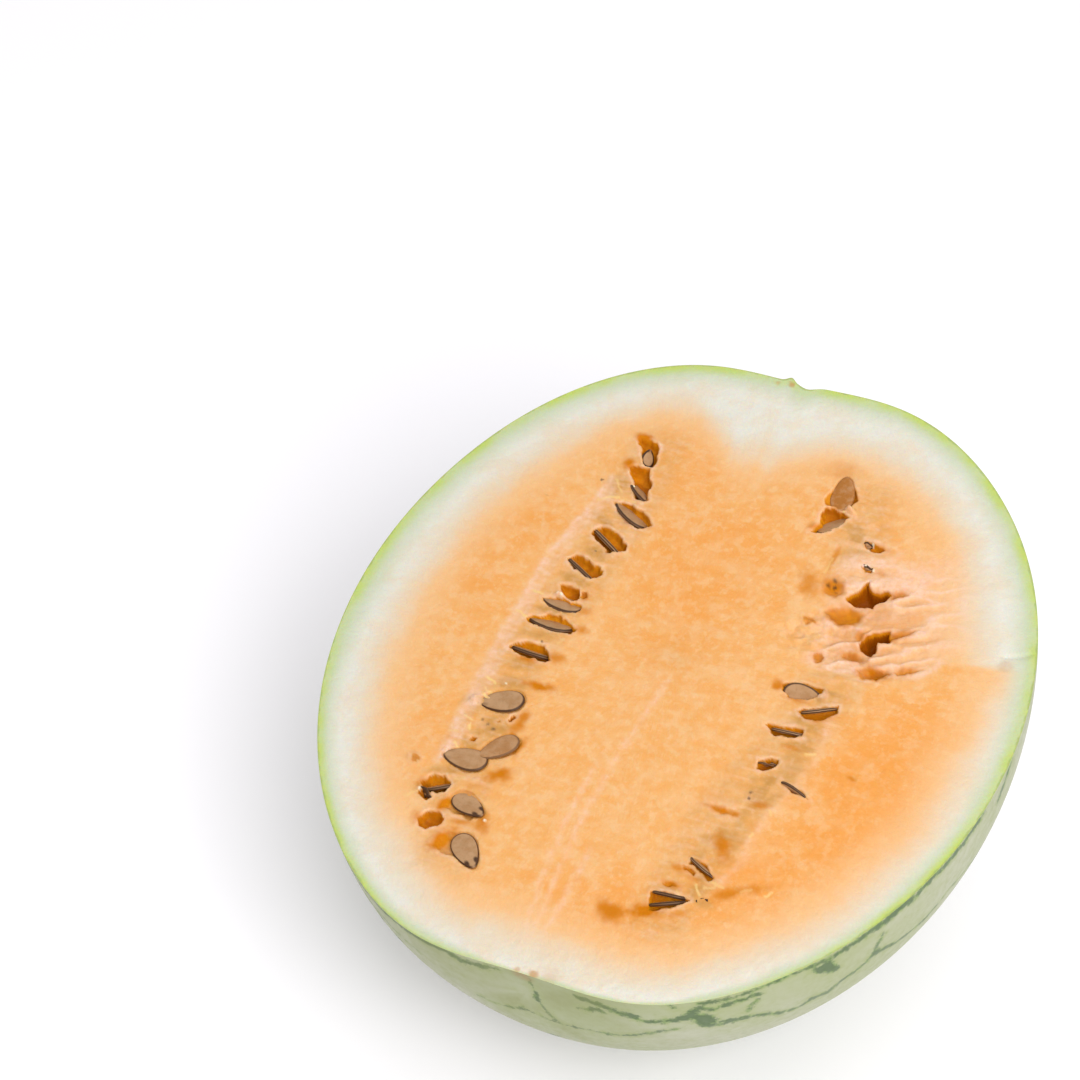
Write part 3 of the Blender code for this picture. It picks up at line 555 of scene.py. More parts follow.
def noise(points, cell, seed):
    """Smooth random values from -1 to 1, with bumps about cell apart."""
    table = np.random.default_rng(seed).uniform(-1, 1, NOISE_VALUES)
    primes = np.array([73856093, 19349663, 83492791])
    places = np.asarray(points, float) / cell
    corner = np.floor(places).astype(np.int64)
    part = places - corner
    part = part * part * (3 - 2 * part)
    total = 0
    for step in np.ndindex(*(2,) * places.shape[-1]):
        weight = 1
        key = 0
        for axis, ahead in enumerate(step):
            weight = weight * (part[..., axis] if ahead else 1 - part[..., axis])
            key = key ^ ((corner[..., axis] + ahead) * primes[axis])
        total = total + weight * table[key % NOISE_VALUES]
    return total


def rough(points, cell, seed, layers=3):
    """Noise with finer noise on it."""
    total = 0
    for layer in range(layers):
        total = total + noise(points, cell / 2**layer, seed + layer) / 1.8**layer
    return total


def draw_in(points):
    """Make the plain oval lopsided, with a dimple at each end."""
    out = np.array(points, float)
    reach = np.linalg.norm(out, axis=-1) + 1e-9
    toward = (out[..., 0] * math.cos(SHOULDER_AT) + out[..., 1] * math.sin(SHOULDER_AT)) / reach
    away = np.arccos(np.clip(toward, -1, 1))
    out *= (1 + SHOULDER * np.exp(-((away / SHOULDER_WIDTH) ** 2)))[..., None]
    off_axis = np.hypot(out[..., 0], out[..., 2])
    near_end = smooth_step(0.5, 0.9, np.abs(out[..., 1]) / HALF_LENGTH)
    dip = END_DIP * np.exp(-((off_axis / END_DIP_WIDTH) ** 2)) * near_end
    out[..., 1] -= np.sign(out[..., 1]) * dip
    near_cut = smooth_step(96, 104, out[..., 1]) * np.exp(-((out[..., 2] / 3.5) ** 2))
    out[..., 1] += near_cut * 1.5 * np.exp(-(((out[..., 0] + 5.5) / 1.6) ** 2))
    out[..., 1] -= near_cut * 1.5 * np.exp(-(((out[..., 0] - 0.5) / 3.2) ** 2))
    return out


def oval_points(along, around):
    """Points of the plain oval. along is the angle from the blossom end, and around
    the angle from straight down, above 0 to the right."""
    x = HALF_WIDTH * np.sin(along) * np.sin(around)
    y = HALF_LENGTH * np.cos(along)
    z = -HALF_DEPTH * np.sin(along) * np.cos(around)
    return np.stack([x, y, z], -1)


def even_places(low, high, count, density):
    """Count + 1 places from low to high, closer where density is high."""
    fine = np.linspace(low, high, 4001)
    gathered = np.concatenate([[0], np.cumsum((density(fine[1:]) + density(fine[:-1])) / 2)])
    return np.interp(np.linspace(0, gathered[-1], count + 1), gathered, fine)


def column_density(x):
    """Columns per mm across the cut face."""
    fine = np.zeros_like(x)
    for low, high in (FINE_LEFT, FINE_RIGHT):
        inside = smooth_step(low - 3, low, x) * (1 - smooth_step(high, high + 3, x))
        fine = np.maximum(fine, inside)
    return 1 / PLAIN_CELL + fine * (1 / FINE_CELL - 1 / PLAIN_CELL)


def row_places():
    """The angle from the blossom end of each row of the body."""
    def density(along):
        y = HALF_LENGTH * np.cos(along)
        low, high = FINE_ROWS
        inside = smooth_step(low - 4, low, y) * (1 - smooth_step(high, high + 4, y))
        cell = 1 / PLAIN_CELL + inside * (1 / ROW_CELL - 1 / PLAIN_CELL)
        end = np.abs(y) / HALF_LENGTH
        more = smooth_step(0.82, 0.94, end) + 2 * smooth_step(0.975, 0.99, end)
        return cell * HALF_LENGTH * np.sin(along) + 8 + END_ROWS * more

    fine = np.linspace(0, math.pi, 2001)
    count = int(density(fine).mean() * math.pi)
    return even_places(0, math.pi, count, density)[1:-1]


def face_points(rows):
    """Rows of points across the cut face, from its left edge to its right."""
    whole = np.linspace(-HALF_WIDTH, HALF_WIDTH, 4001)
    gathered = np.concatenate([[0], np.cumsum(column_density(whole[1:]) * np.diff(whole))])
    columns = int(gathered[-1])
    lines = []
    for along in rows:
        half = HALF_WIDTH * math.sin(along)
        ends = np.interp([-half, half], whole, gathered)
        x = np.interp(np.linspace(*ends, columns + 1), gathered, whole)
        x[0], x[-1] = -half, half
        y = np.full_like(x, HALF_LENGTH * math.cos(along))
        lines.append(np.stack([x, y, np.zeros_like(x)], -1))
    return np.array(lines)


def skin_points(rows):
    """Rows of points round the skin, from the right edge under to the left."""
    def density(turn):
        fine = smooth_step(RIM_BAND - 0.06, RIM_BAND + 0.06, np.abs(turn))
        return HALF_WIDTH * (1 / SKIN_CELL + fine * (1 / RIM_CELL - 1 / SKIN_CELL))

    spread = np.linspace(-math.pi / 2, math.pi / 2, 2001)
    around = even_places(-math.pi / 2, math.pi / 2, int(density(spread).mean() * math.pi), density)[-2:0:-1]
    along, around = np.meshgrid(rows, around, indexing="ij")
    return oval_points(along, around)


def patch_share(x, y, patch):
    """How far out from a patch's middle each point is: 1 at its edge."""
    turn = math.radians(patch.turn)
    along = (x - patch.x) * math.cos(turn) + (y - patch.y) * math.sin(turn)
    across = (y - patch.y) * math.cos(turn) - (x - patch.x) * math.sin(turn)
    return np.hypot(along / (patch.length / 2), across / (patch.width / 2))


def strongest(x, y, patches, wave, soft, end=1.15):
    """The strongest of the patches at each point, fading out from soft to end."""
    total = np.zeros_like(x)
    for patch in patches:
        share = 1 - smooth_step(soft, end, patch_share(x, y, patch) + wave)
        total = np.maximum(total, share * patch.strength)
    return total


def spotted(x, y, spots, wave, inner, outer):
    """The strongest of the round spots at each point, fading from inner to outer
    times a spot's size."""
    total = np.zeros_like(x)
    for spot in spots:
        at_x, at_y, size, strength = Spot(*spot)
        away = np.hypot(x - at_x, y - at_y) + wave
        total = np.maximum(total, strength * (1 - smooth_step(inner * size, outer * size, away)))
    return total


def line_distance(x, y, route):
    """Distance from each point to a route of straight runs."""
    nearest = np.full_like(x, 1e9)
    for (ax, ay), (bx, by) in zip(route, route[1:]):
        dx, dy = bx - ax, by - ay
        share = np.clip(((x - ax) * dx + (y - ay) * dy) / (dx * dx + dy * dy), 0, 1)
        nearest = np.minimum(nearest, np.hypot(x - ax - share * dx, y - ay - share * dy))
    return nearest


def depth_inside(x, y, mouth):
    """Distance from each point to the edge of an outline: above 0 inside it."""
    nearest = np.full_like(x, 1e9)
    inside = np.zeros(x.shape, bool)
    for (ax, ay), (bx, by) in zip(mouth, mouth[1:] + mouth[:1]):
        dx, dy = bx - ax, by - ay
        share = np.clip(((x - ax) * dx + (y - ay) * dy) / (dx * dx + dy * dy), 0, 1)
        nearest = np.minimum(nearest, np.hypot(x - ax - share * dx, y - ay - share * dy))
        if dy:
            inside ^= ((ay > y) != (by > y)) & (x < ax + (y - ay) * dx / dy)
    return np.where(inside, nearest, -nearest)


def torn_share(x, y):
    """1 inside the torn ground right of the right row, fading to 0 outside it."""
    edge = np.interp(x, [p[0] for p in TORN_EDGE], [p[1] for p in TORN_EDGE])
    above = smooth_step(-0.5, 1.5, y - edge)
    left = smooth_step(30, 42, x)
    right = 1 - smooth_step(66, 84, x)
    top = 1 - smooth_step(44, 62, y)
    return above * left * right * top


def row_share(x, y):
    """1 along the two rows of seeds, fading to 0 beside them."""
    left = np.abs(x - (-34 - 9 * np.exp(-(((y + 30) / 45) ** 2))))
    right = np.abs(x - (28 + 18 * np.exp(-(((y - 12) / 48) ** 2))))
    ends = smooth_step(-92, -82, y) * (1 - smooth_step(72, 82, y))
    return (1 - smooth_step(5, 12, np.minimum(left, right))) * ends


def in_seed_outline(x, y, seed):
    """How far out from a seed's middle each point is: 1 on its outline."""
    turn = math.radians(seed.turn)
    flat = math.cos(math.radians(seed.lean))
    along = ((x - seed.x) * math.cos(turn) + (y - seed.y) * math.sin(turn)) / (SEED_LENGTH / 2 * seed.size)
    across = (y - seed.y) * math.cos(turn) - (x - seed.x) * math.sin(turn)
    across = across / (SEED_WIDTH / 2 * seed.size * flat)
    return np.hypot(along, across / (1 - SEED_TAPER * np.clip(along, -1, 1)))


def pocket_relief(x, y, flat):
    """How far each point is down a hollow, how much it is wall, and how much torn lip."""
    jag_x = 0.5 * noise(flat, 2.4, 11) + 0.3 * noise(flat, 1.1, 12) + 0.12 * noise(flat, 0.6, 15)
    jag_y = 0.5 * noise(flat, 2.4, 13) + 0.3 * noise(flat, 1.1, 14) + 0.12 * noise(flat, 0.6, 16)
    down, inside, lip = np.zeros((3, *x.shape))
    for mouth, depth, wall in HOLLOWS:
        low = np.min(mouth, axis=0) - 3
        high = np.max(mouth, axis=0) + 3
        near = (x > low[0]) & (x < high[0]) & (y > low[1]) & (y < high[1])
        into = depth_inside((x + jag_x)[near], (y + jag_y)[near], mouth)
        drop = depth * (0.86 * smooth_step(-0.15, wall, into) + 0.14 * smooth_step(0, into.max(), into))
        down[near] = np.maximum(down[near], drop)
        # Hollows over 5 mm deep get a mark above 1, where the flesh finish paints shade
        share = min(1, 0.35 + depth / 3) + 0.35 * (depth > 5)
        share *= 0.6 if wall >= 1.2 and depth < 3 else 1
        inside[near] = np.maximum(inside[near], share * smooth_step(-0.25, 0.45 * wall, into))
        lip[near] = np.maximum(lip[near], min(1, depth / 2.5) * np.exp(-(((into + 0.55) / 0.45) ** 2)))
    return down, inside, lip


def seed_beds(x, y, flat, down, inside):
    """Sink the flesh a little under each seed that lies flat, with painted shade in amber
    round its edge.
    """
    wave = 0.04 * noise(flat, 2.0, 73)
    for seed in LEFT_SEEDS + RIGHT_SEEDS:
        if abs(seed.lean) < 20 and seed.lift > -0.8 and seed.size > 0.6:
            out = in_seed_outline(x, y, seed) + wave
            down = np.maximum(down, 0.5 * (1 - smooth_step(1.01, 1.1, out)))
            # Painted shade: an amber ring round the seed's edge
            inside = np.maximum(inside, 0.5 * (1 - smooth_step(1.02, 1.16, out)))
    return down, inside


def torn_relief(x, y, flat, torn):
    """Height of the torn ground's strands, where their crests are, and how near the
    deep tears each point is."""
    slant = math.radians(24) - 0.3 * np.clip(0.5 * (y - 30) / 30, -1, 1)
    along = (x - 40) * np.cos(slant) + (y - 28) * np.sin(slant)
    across = (y - 28) * np.cos(slant) - (x - 40) * np.sin(slant)
    across = across + 1.7 * noise(flat, 9, 20) + 0.6 * noise(flat, 3.2, 24)
    strands = np.stack([along / 2.8, across], -1)
    crests = 1 - 2.1 * np.abs(noise(strands, 3.6, 21)) - 0.5 * np.abs(noise(strands, 1.5, 22))
    near_tears = 1 - smooth_step(7, 21, np.hypot((x - 50) / 1.15, (y - 27) / 1.2))
    strength = torn * (0.1 + 0.9 * near_tears)
    height = strength * (0.6 * crests - 0.5 + 0.5 * noise(strands, 6.0, 26))
    return height + torn * 0.1 * noise(flat, 1.2, 25), crests, near_tears


def face_relief(x, y):
    """Height of the cut face in mm, and how much each point is pocket wall, torn lip,
    pale torn strands with a painted highlight on their crests, painted shade in the
    hollows between strands, and raised bump."""
    flat = np.stack([x, y], -1)
    torn = torn_share(x, y)
    down, inside, lip = pocket_relief(x, y, flat)
    strands, crests, near_tears = torn_relief(x, y, flat, torn)
    height = 0.10 * noise(flat, 16, 31) + 0.05 * noise(flat, 5, 32)
    height += strands
    flakes = 1 - smooth_step(0.4, 1, patch_share(x, y, FLAKED) + 0.3 * noise(flat, 4, 27))
    height += flakes * 0.7 * (rough(np.stack([x / 1.5, y], -1), 2.4, 23) - 0.2)
    membranes = np.stack([x / 4.5, y], -1)
    height += row_share(x, y) * (0.16 * rough(membranes, 1.5, 41) + 0.14 * noise(flat, 2.6, 42))
    height += 0.05 * noise(flat, 0.9, 51) + 0.05 * noise(flat, 2.0, 52)
    crack = line_distance(x + 0.5 * noise(flat, 2, 61), y + 0.5 * noise(flat, 2, 62), RIND_CRACK)
    height -= 0.7 * np.exp(-((crack / 0.5) ** 2))
    bump = np.exp(-(((x - BUMP.x) / (BUMP.length / 2)) ** 2 + ((y - BUMP.y) / (BUMP.width / 2)) ** 2))
    height += BUMP.strength * bump
    height += 0.18 * lip * (0.4 + noise(flat, 1.3, 71))
    down, inside = seed_beds(x, y, flat, down, inside)
    height -= down
    cover = strongest(x, y, COVERS, 0.25 * noise(flat, 1.5, 74), 0.3, 1.1)
    height += cover * (0.8 + 0.4 * noise(flat, 1.0, 75))
    for at_x, at_y, size in PAINTED_GLINTS:
        height += 0.5 * np.exp(-(((x - at_x) ** 2 + (y - at_y) ** 2) / size**2))
    inside = inside * (1 - smooth_step(0.1, 0.7, cover))
    # Torn strands are paler flesh, and paler still on their crests: a painted highlight
    strand_with_crest_highlight = torn * (0.6 * smooth_step(-0.2, 0.8, crests) + 0.3) + 0.3 * flakes * noise(flat, 2.4, 28)
    strand_with_crest_highlight = np.clip(strand_with_crest_highlight + 0.25 * cover, 0, 1)
    # Painted shade in the hollows between strands near the deep tears
    painted_valley_shade = near_tears * torn * smooth_step(0.0, -1.0, crests)
    return height, inside, lip, strand_with_crest_highlight, painted_valley_shade, bump


def flesh_edge(angle):
    """Width of skin and rind at an angle from +x round the cut face."""
    degrees, widths = zip(*RIND_WIDTHS)
    return np.interp(np.degrees(angle), degrees, widths)


def rim_radius(angle):
    """Distance from the middle of the cut face to its rim, at an angle from +x."""
    way = np.linspace(-math.pi, math.pi, 1441)
    base = np.stack([HALF_WIDTH * np.cos(way), HALF_LENGTH * np.sin(way), np.zeros_like(way)], -1)
    rim = draw_in(base)
    at = np.arctan2(rim[:, 1], rim[:, 0])
    order = np.argsort(at)
    return np.interp(angle, at[order], np.hypot(rim[:, 0], rim[:, 1])[order], period=math.tau)


def straw_share(x, y, flat):
    """How much each point is a torn yellow fibre."""
    bent_x = x + 0.35 * noise(flat, 1.2, 94)
    bent_y = y + 0.35 * noise(flat, 1.2, 95)
    total = np.zeros_like(x)
    for ax, ay, bx, by, strength in STRAWS:
        away = line_distance(bent_x, bent_y, [(ax, ay), (bx, by)])
        total = np.maximum(total, strength * (1 - smooth_step(0.1, 0.55, away)))
    return total


def pale_share(x, y, flat, wave, band, hatch, lip, strand_with_crest_highlight, bump):
    """How much each point is pale fibre: lines, torn strands with painted highlights on
    their crests, lips and crumbs.
    """
    row = row_share(x, y)
    streak = row * smooth_step(0.15, 0.6, noise(np.stack([x / 5, y], -1), 1.1, 86))
    crumbs = row * smooth_step(0.35, 0.7, noise(flat, 0.9, 85))
    waved = wavered(x, y, flat)
    lines = np.minimum(line_distance(*waved, LEFT_LINE), line_distance(*waved, RIGHT_LINE))
    veins = np.min([line_distance(*waved, route) for route in VEINS], axis=0)
    line = 0.36 * np.exp(-((lines / 1.3) ** 2)) + 0.55 * np.exp(-((veins / 0.9) ** 2))
    pale = 0.4 * lip + 0.5 * band * (0.75 + 0.35 * hatch + 0.35 * noise(flat, 1.7, 96))
    pale = pale + line * (0.7 + 0.5 * noise(flat, 1.6, 89))
    pale = pale + 0.2 * streak + 0.15 * crumbs + strand_with_crest_highlight + 0.3 * bump
    return np.maximum(np.clip(pale, 0, 1), 0.75 * strongest(x, y, PALE_PATCHES, wave, 0.2))


def wavered(x, y, flat):
    """Places shifted a little, so that lines through them waver."""
    return np.stack([x + 0.4 * noise(flat, 2.2, 87), y + 0.4 * noise(flat, 2.2, 88)])


def face_marks(x, y, inside, lip, strand_with_crest_highlight, painted_valley_shade, bump):
    """The marks that colour the cut face, each one value per point."""
    flat = np.stack([x, y], -1)
    angle = np.arctan2(y, x)
    reach = np.hypot(x, y)
    rim = np.clip(rim_radius(angle) - reach, 0, None)
    radial = np.stack([angle * 45, reach / 5], -1)
    edge = rim - flesh_edge(angle) + 1.6 * noise(flat, 12, 81) + 0.7 * noise(flat, 4, 82)
    edge = edge + 0.3 * noise(radial, 1.2, 80)
    wave = 0.22 * noise(flat, 2.4, 83) + 0.12 * noise(flat, 1.0, 84)
    waved = wavered(x, y, flat)
    band = smooth_step(-0.6, 1.2, depth_inside(*waved, LEFT_BAND))
    tan = smooth_step(-0.8, 1.2, depth_inside(*waved, RIGHT_BAND))
    hatch = noise(np.stack([x / 3.5, y], -1), 0.9, 92)
    tissue = 0.85 * strongest(x, y, TISSUE_PATCHES, 1.2 * wave, 0.2) + 0.3 * row_share(x, y)
    tissue = tissue + 0.25 * tan * (0.9 + 0.8 * hatch) + 0.15 * band
    return {
        "rim": rim,
        "flesh": edge,
        "pocket": inside,
        # Amber patches, partly painted shade beside seeds, and painted shade between torn strands
        "soaked": np.maximum(1.2 * strongest(x, y, AMBER_PATCHES, wave, 0.1), 0.35 * painted_valley_shade),
        "tissue": np.clip(tissue, 0, 1),
        "straw": straw_share(x, y, flat),
        "green": np.interp(np.degrees(angle), *zip(*GREEN_WIDTHS)),
        "stain": spotted(x, y, STAINS, 0.8 * noise(flat, 1.4, 93), 0.1, 1.4),
        # Painted highlights on the small wet torn bits
        "painted_glint": spotted(x, y, PAINTED_GLINTS, 0, 0.4, 1.2),
        "pale": pale_share(x, y, flat, wave, band, hatch, lip, strand_with_crest_highlight, bump),
        "deep": strongest(x, y, DEEP_PATCHES, 0.3 * wave, 0.1),
        "speck": 0.75 * spotted(x, y, SPECKS, 0.5 * noise(flat, 0.9, 91), 0.2, 1.8),
    }


def stripe_routes():
    """Each stripe's and each side branch's middle line, as points and half widths."""
    draws = np.random.default_rng(17)
    along = np.linspace(0.05, math.pi - 0.05, 260)
    routes, halves = [], []
    for stripe in STRIPES:
        place = np.stack([along * 40, np.full_like(along, stripe.wave * 31.0)], -1)
        wander = 3.4 * noise(place, 26, stripe.wave) + 1.5 * noise(place, 9, stripe.wave + 50)
        around = np.radians(stripe.around + wander * np.sin(along))
        swell = 0.75 + 0.55 * noise(place, 13, stripe.wave + 90)
        half = stripe.half * swell * np.sin(along) ** 0.8 + 0.25
        half = half - 6 * smooth_step(2.2, 2.75, along)
        routes.append(np.stack([along, around], -1))
        halves.append(half)
        for _ in range(7):
            start = draws.integers(30, 230)
            length = draws.uniform(0.05, 0.2)
            side = draws.choice([-1, 1])
            lean = draws.uniform(-0.8, 0.8)
            step = np.linspace(0, 1, 14)
            at = along[start] + lean * length * step + 0.02 * np.sin(step * 7 + start)
            off = around[start] + side * length * step * 1.2
            routes.append(np.stack([at, off], -1))
            halves.append(draws.uniform(0.7, 1.7) * (1 - 0.55 * step) + 0.5 * np.sin(step * 9) ** 2)
    return routes, halves


def net_field(skin):
    """How deep each skin point lies in the net, in mm: above 0 is on a stripe."""
    routes, halves = stripe_routes()
    along, around = np.concatenate(routes).T
    half = np.concatenate(halves)
    middle = draw_in(oval_points(along, around))
    best = np.empty(skin.shape[:2])
    for number, row in enumerate(skin):
        near = np.abs(middle[:, 1] - row[:, 1].mean()) < -FAR_OFF
        away = np.linalg.norm(row[:, None] - middle[near][None], axis=-1)
        best[number] = (half[near][None] - away).max(1)
    return np.maximum(best, FAR_OFF)


def drawn_field(skin):
    """How deep each skin point lies in a drawn line, in mm."""
    best = np.full(skin.shape[:2], FAR_OFF)
    y = skin[:, :, 1]
    for route in DRAWN:
        step = np.linspace(0, len(route) - 1, 24 * (len(route) - 1) + 1)
        along, around, half = (np.interp(step, np.arange(len(route)), values) for values in np.array(route).T)
        middle = draw_in(oval_points(np.radians(along), np.radians(around)))
        for row in np.flatnonzero((y.max(1) > middle[:, 1].min() - 4) & (y.min(1) < middle[:, 1].max() + 4)):
            away = np.linalg.norm(skin[row][:, None] - middle[None], axis=-1)
            best[row] = np.maximum(best[row], (half[None] - away).max(1))
    return best


def scar_field(skin):
    """Brown dry skin round the two poles."""
    stem = np.linalg.norm(skin - STEM_POLE, axis=-1)
    blossom = np.linalg.norm(skin - BLOSSOM_POLE, axis=-1)
    wave = 1.2 * noise(skin, 3.5, 201)
    field = 0.5 * (1 - smooth_step(2.0, 4.5, stem + wave))
    return np.maximum(field, 0.8 * (1 - smooth_step(2.0, 5.0, blossom + wave)))


def stem_field(skin):
    """Olive streaks that run out from the stem end."""
    away = np.linalg.norm(skin - STEM_POLE, axis=-1)
    spin = np.arctan2(skin[..., 0], -skin[..., 2] - 10)
    spin = spin + 0.25 * noise(skin, 16, 204)
    streaks = noise(np.stack([3.6 * spin, away / 34], -1), 1.0, 202) * smooth_step(3, 16, away)
    near = 1 - smooth_step(14, 72, away)
    return np.clip(near * (0.5 + 0.6 * streaks + 0.6 * noise(skin, 9, 203)), 0, 1) * 0.95


# The skin's marks: the field of each, whether it reaches the cut's left edge, what it
# is off the skin, and what it is at the blossom end and the stem end
SKIN_MARKS = {
    "net": (net_field, True, FAR_OFF, (FAR_OFF, FAR_OFF)),
    "drawn": (drawn_field, False, FAR_OFF, (FAR_OFF, FAR_OFF)),
    "scar": (scar_field, True, 0.0, (1, 1)),
    "stem": (stem_field, True, 0.0, (0, 1)),
}


def skin_marks(ring, right_edge):
    """The skin's marks, from the rows of points round the whole half."""
    marks = {}
    for name, (field, reaches_left, off_skin, poles) in SKIN_MARKS.items():
        values = np.full(ring.shape[:2], off_skin)
        values[:, right_edge:] = field(ring[:, right_edge:])
        if reaches_left:
            values[:, :1] = field(ring[:, :1])
        marks[name] = np.concatenate([values.ravel(), poles])
    return marks


def tube_faces(rows, around):
    """Corner numbers of a tube's faces: its quads, and the fans that close it at its
    two end points, which come after the rows."""
    row, turn = np.meshgrid(np.arange(rows - 1), np.arange(around), indexing="ij")
    after = (turn + 1) % around
    quads = np.stack([row * around + turn, (row + 1) * around + turn,
                      (row + 1) * around + after, row * around + after], -1)
    turn = np.arange(around)
    after = (turn + 1) % around
    last_row = (rows - 1) * around
    first = np.stack([np.full(around, rows * around), turn, after], -1)
    last = np.stack([np.full(around, rows * around + 1), last_row + after, last_row + turn], -1)
    return quads.reshape(-1, 4), np.concatenate([first, last])


Half = namedtuple("Half", "points quads fans on_skin marks")


def melon_half():
    """The half in its own axes: its points, its faces, which of them are skin, and
    the marks that its finishes read."""
    rows = row_places()
    face = draw_in(face_points(rows))
    skin = draw_in(skin_points(rows))
    height, *features = face_relief(face[..., 0], face[..., 1])
    marks = face_marks(face[..., 0], face[..., 1], *features)
    face[..., 2] += height * smooth_step(0.0, 2.5, marks["rim"])
    face[:, [0, -1], 2] = 0
    blank = np.zeros(skin.shape[:2])
    for name, values in marks.items():
        marks[name] = np.concatenate([np.concatenate([values, blank], 1).ravel(), [0, 0]])
    ring = np.concatenate([face, skin], 1)
    right_edge = face.shape[1] - 1
    marks.update(skin_marks(ring, right_edge))
    poles = draw_in(np.array([[0, HALF_LENGTH, 0], [0, -HALF_LENGTH, 0]]))
    points = np.concatenate([ring.reshape(-1, 3), poles])
    angle = np.arctan2(points[:, 1], points[:, 0])
    reach = np.hypot(points[:, 0], points[:, 1])
    marks["fibre"] = np.stack([60 * np.cos(angle), 60 * np.sin(angle), reach / 5], -1) * MM
    count, around = ring.shape[:2]
    quads, fans = tube_faces(count, around)
    on_skin = np.tile(np.arange(around) >= right_edge, count + 1)
    return Half(points, quads, fans, on_skin, marks)


def fruit_to_world(points):
    """Tilt points of the fruit's own axes, in mm, as the half lies."""
    tilt = Matrix.Rotation(RAISE_BLOSSOM, 3, "X") @ Matrix.Rotation(-RAISE_RIGHT, 3, "Y")
    return points @ np.array(tilt).T


def lying_offset(tilted):
    """The shift in mm that puts the tilted body on the floor, in the solid's box."""
    low, high = tilted.min(0), tilted.max(0)
    middle = (np.array(CAD_LOW) + np.array(CAD_HIGH)) / 2 / MM
    offset = middle - (low + high) / 2
    offset[2] = CAD_LOW.z / MM - (low[2] + FLAT_SPOT_CUT)
    return offset


def within_solid(points):
    """Points drawn in by a hair, so that none is outside the solid's box."""
    low, high = points.min(0), points.max(0)
    box_low, box_high = np.array(CAD_LOW) / MM, np.array(CAD_HIGH) / MM
    scale = np.minimum(1, (box_high - box_low - 0.01) / (high - low))
    return (points - (low + high) / 2) * scale + (box_low + box_high) / 2 - [0, 0, 0.005]


def make_mesh(name, points, quads, triangles, fields):
    """A mesh from arrays of points in mm, its faces and its marks, which are numbers
    or places."""
    mesh = bpy.data.meshes.new(name)
    faces = [tuple(f) for f in quads.tolist()] + [tuple(f) for f in triangles.tolist()]
    mesh.from_pydata((points * MM).tolist(), [], faces)
    for field, values in fields.items():
        values = np.asarray(values, np.float32)
        kind, key = ("FLOAT_VECTOR", "vector") if values.ndim == 2 else ("FLOAT", "value")
        mark = mesh.attributes.new(field, kind, "POINT")
        mark.data.foreach_set(key, values.ravel())
    return mesh


class Finish:
    """A material and the short ways in which its nodes are made."""

    def __init__(self, name):
        self.material = bpy.data.materials.new(name)
        self.material.use_nodes = True
        self.nodes = self.material.node_tree.nodes
        self.links = self.material.node_tree.links
        self.shader = self.nodes["Principled BSDF"]

    def feed(self, socket, value):
        """Set a socket to a number or colour, or link it to another node's output."""
        if isinstance(value, bpy.types.NodeSocket):
            self.links.new(value, socket)
        elif socket.type == "RGBA":
            socket.default_value = (*value, 1)
        else:
            socket.default_value = value

    def mark(self, name, output="Fac"):
        """A mark that the mesh carries: a number, or a place from output Vector."""
        node = self.nodes.new("ShaderNodeAttribute")
        node.attribute_name = name
        return node.outputs[output]

    def place(self):
        """Where the point is, in metres."""
        return self.nodes.new("ShaderNodeTexCoord").outputs["Object"]

    def stretched(self, place, scale):
        """A place scaled by three numbers."""
        node = self.nodes.new("ShaderNodeMapping")
        self.feed(node.inputs["Vector"], place)
        node.inputs["Scale"].default_value = scale
        return node.outputs["Vector"]

    def clouds(self, scale, detail=3, roughness=0.5, place=None):
        """Noise from 0 to 1, with scale bumps a metre."""
        node = self.nodes.new("ShaderNodeTexNoise")
        node.inputs["Scale"].default_value = scale
        node.inputs["Detail"].default_value = detail
        node.inputs["Roughness"].default_value = roughness
        self.feed(node.inputs["Vector"], self.place() if place is None else place)
        return node.outputs["Fac"]

    def cells(self, scale):
        """How far each point is from the nearest of scattered middles."""
        node = self.nodes.new("ShaderNodeTexVoronoi")
        node.inputs["Scale"].default_value = scale
        self.feed(node.inputs["Vector"], self.place())
        return node.outputs["Distance"]

    def sum(self, first, second, kind="ADD"):
        """Two values put together."""
        node = self.nodes.new("ShaderNodeMath")
        node.operation = kind
        self.feed(node.inputs[0], first)
        self.feed(node.inputs[1], second)
        return node.outputs[0]

    def times(self, first, second):
        """Two values multiplied."""
        return self.sum(first, second, "MULTIPLY")

    def ramp(self, value, low, high, start=0.0, end=1.0):
        """Start below low, end above high, and smooth between."""
        node = self.nodes.new("ShaderNodeMapRange")
        node.interpolation_type = "SMOOTHSTEP"
        self.feed(node.inputs["Value"], value)
        for name, number in (("From Min", low), ("From Max", high), ("To Min", start), ("To Max", end)):
            node.inputs[name].default_value = number
        return node.outputs["Result"]

    def mix(self, share, first, second):
        """From the first colour to the second as the share goes from 0 to 1."""
        node = self.nodes.new("ShaderNodeMix")
        node.data_type = "RGBA"
        self.feed(node.inputs["Factor"], share)
        self.feed(node.inputs["A"], first)
        self.feed(node.inputs["B"], second)
        return node.outputs["Result"]

    def relief(self, height, distance, strength):
        """Fine relief for the shader from a height between 0 and 1."""
        node = self.nodes.new("ShaderNodeBump")
        node.inputs["Strength"].default_value = strength
        node.inputs["Distance"].default_value = distance
        self.feed(node.inputs["Height"], height)
        self.links.new(node.outputs["Normal"], self.shader.inputs["Normal"])


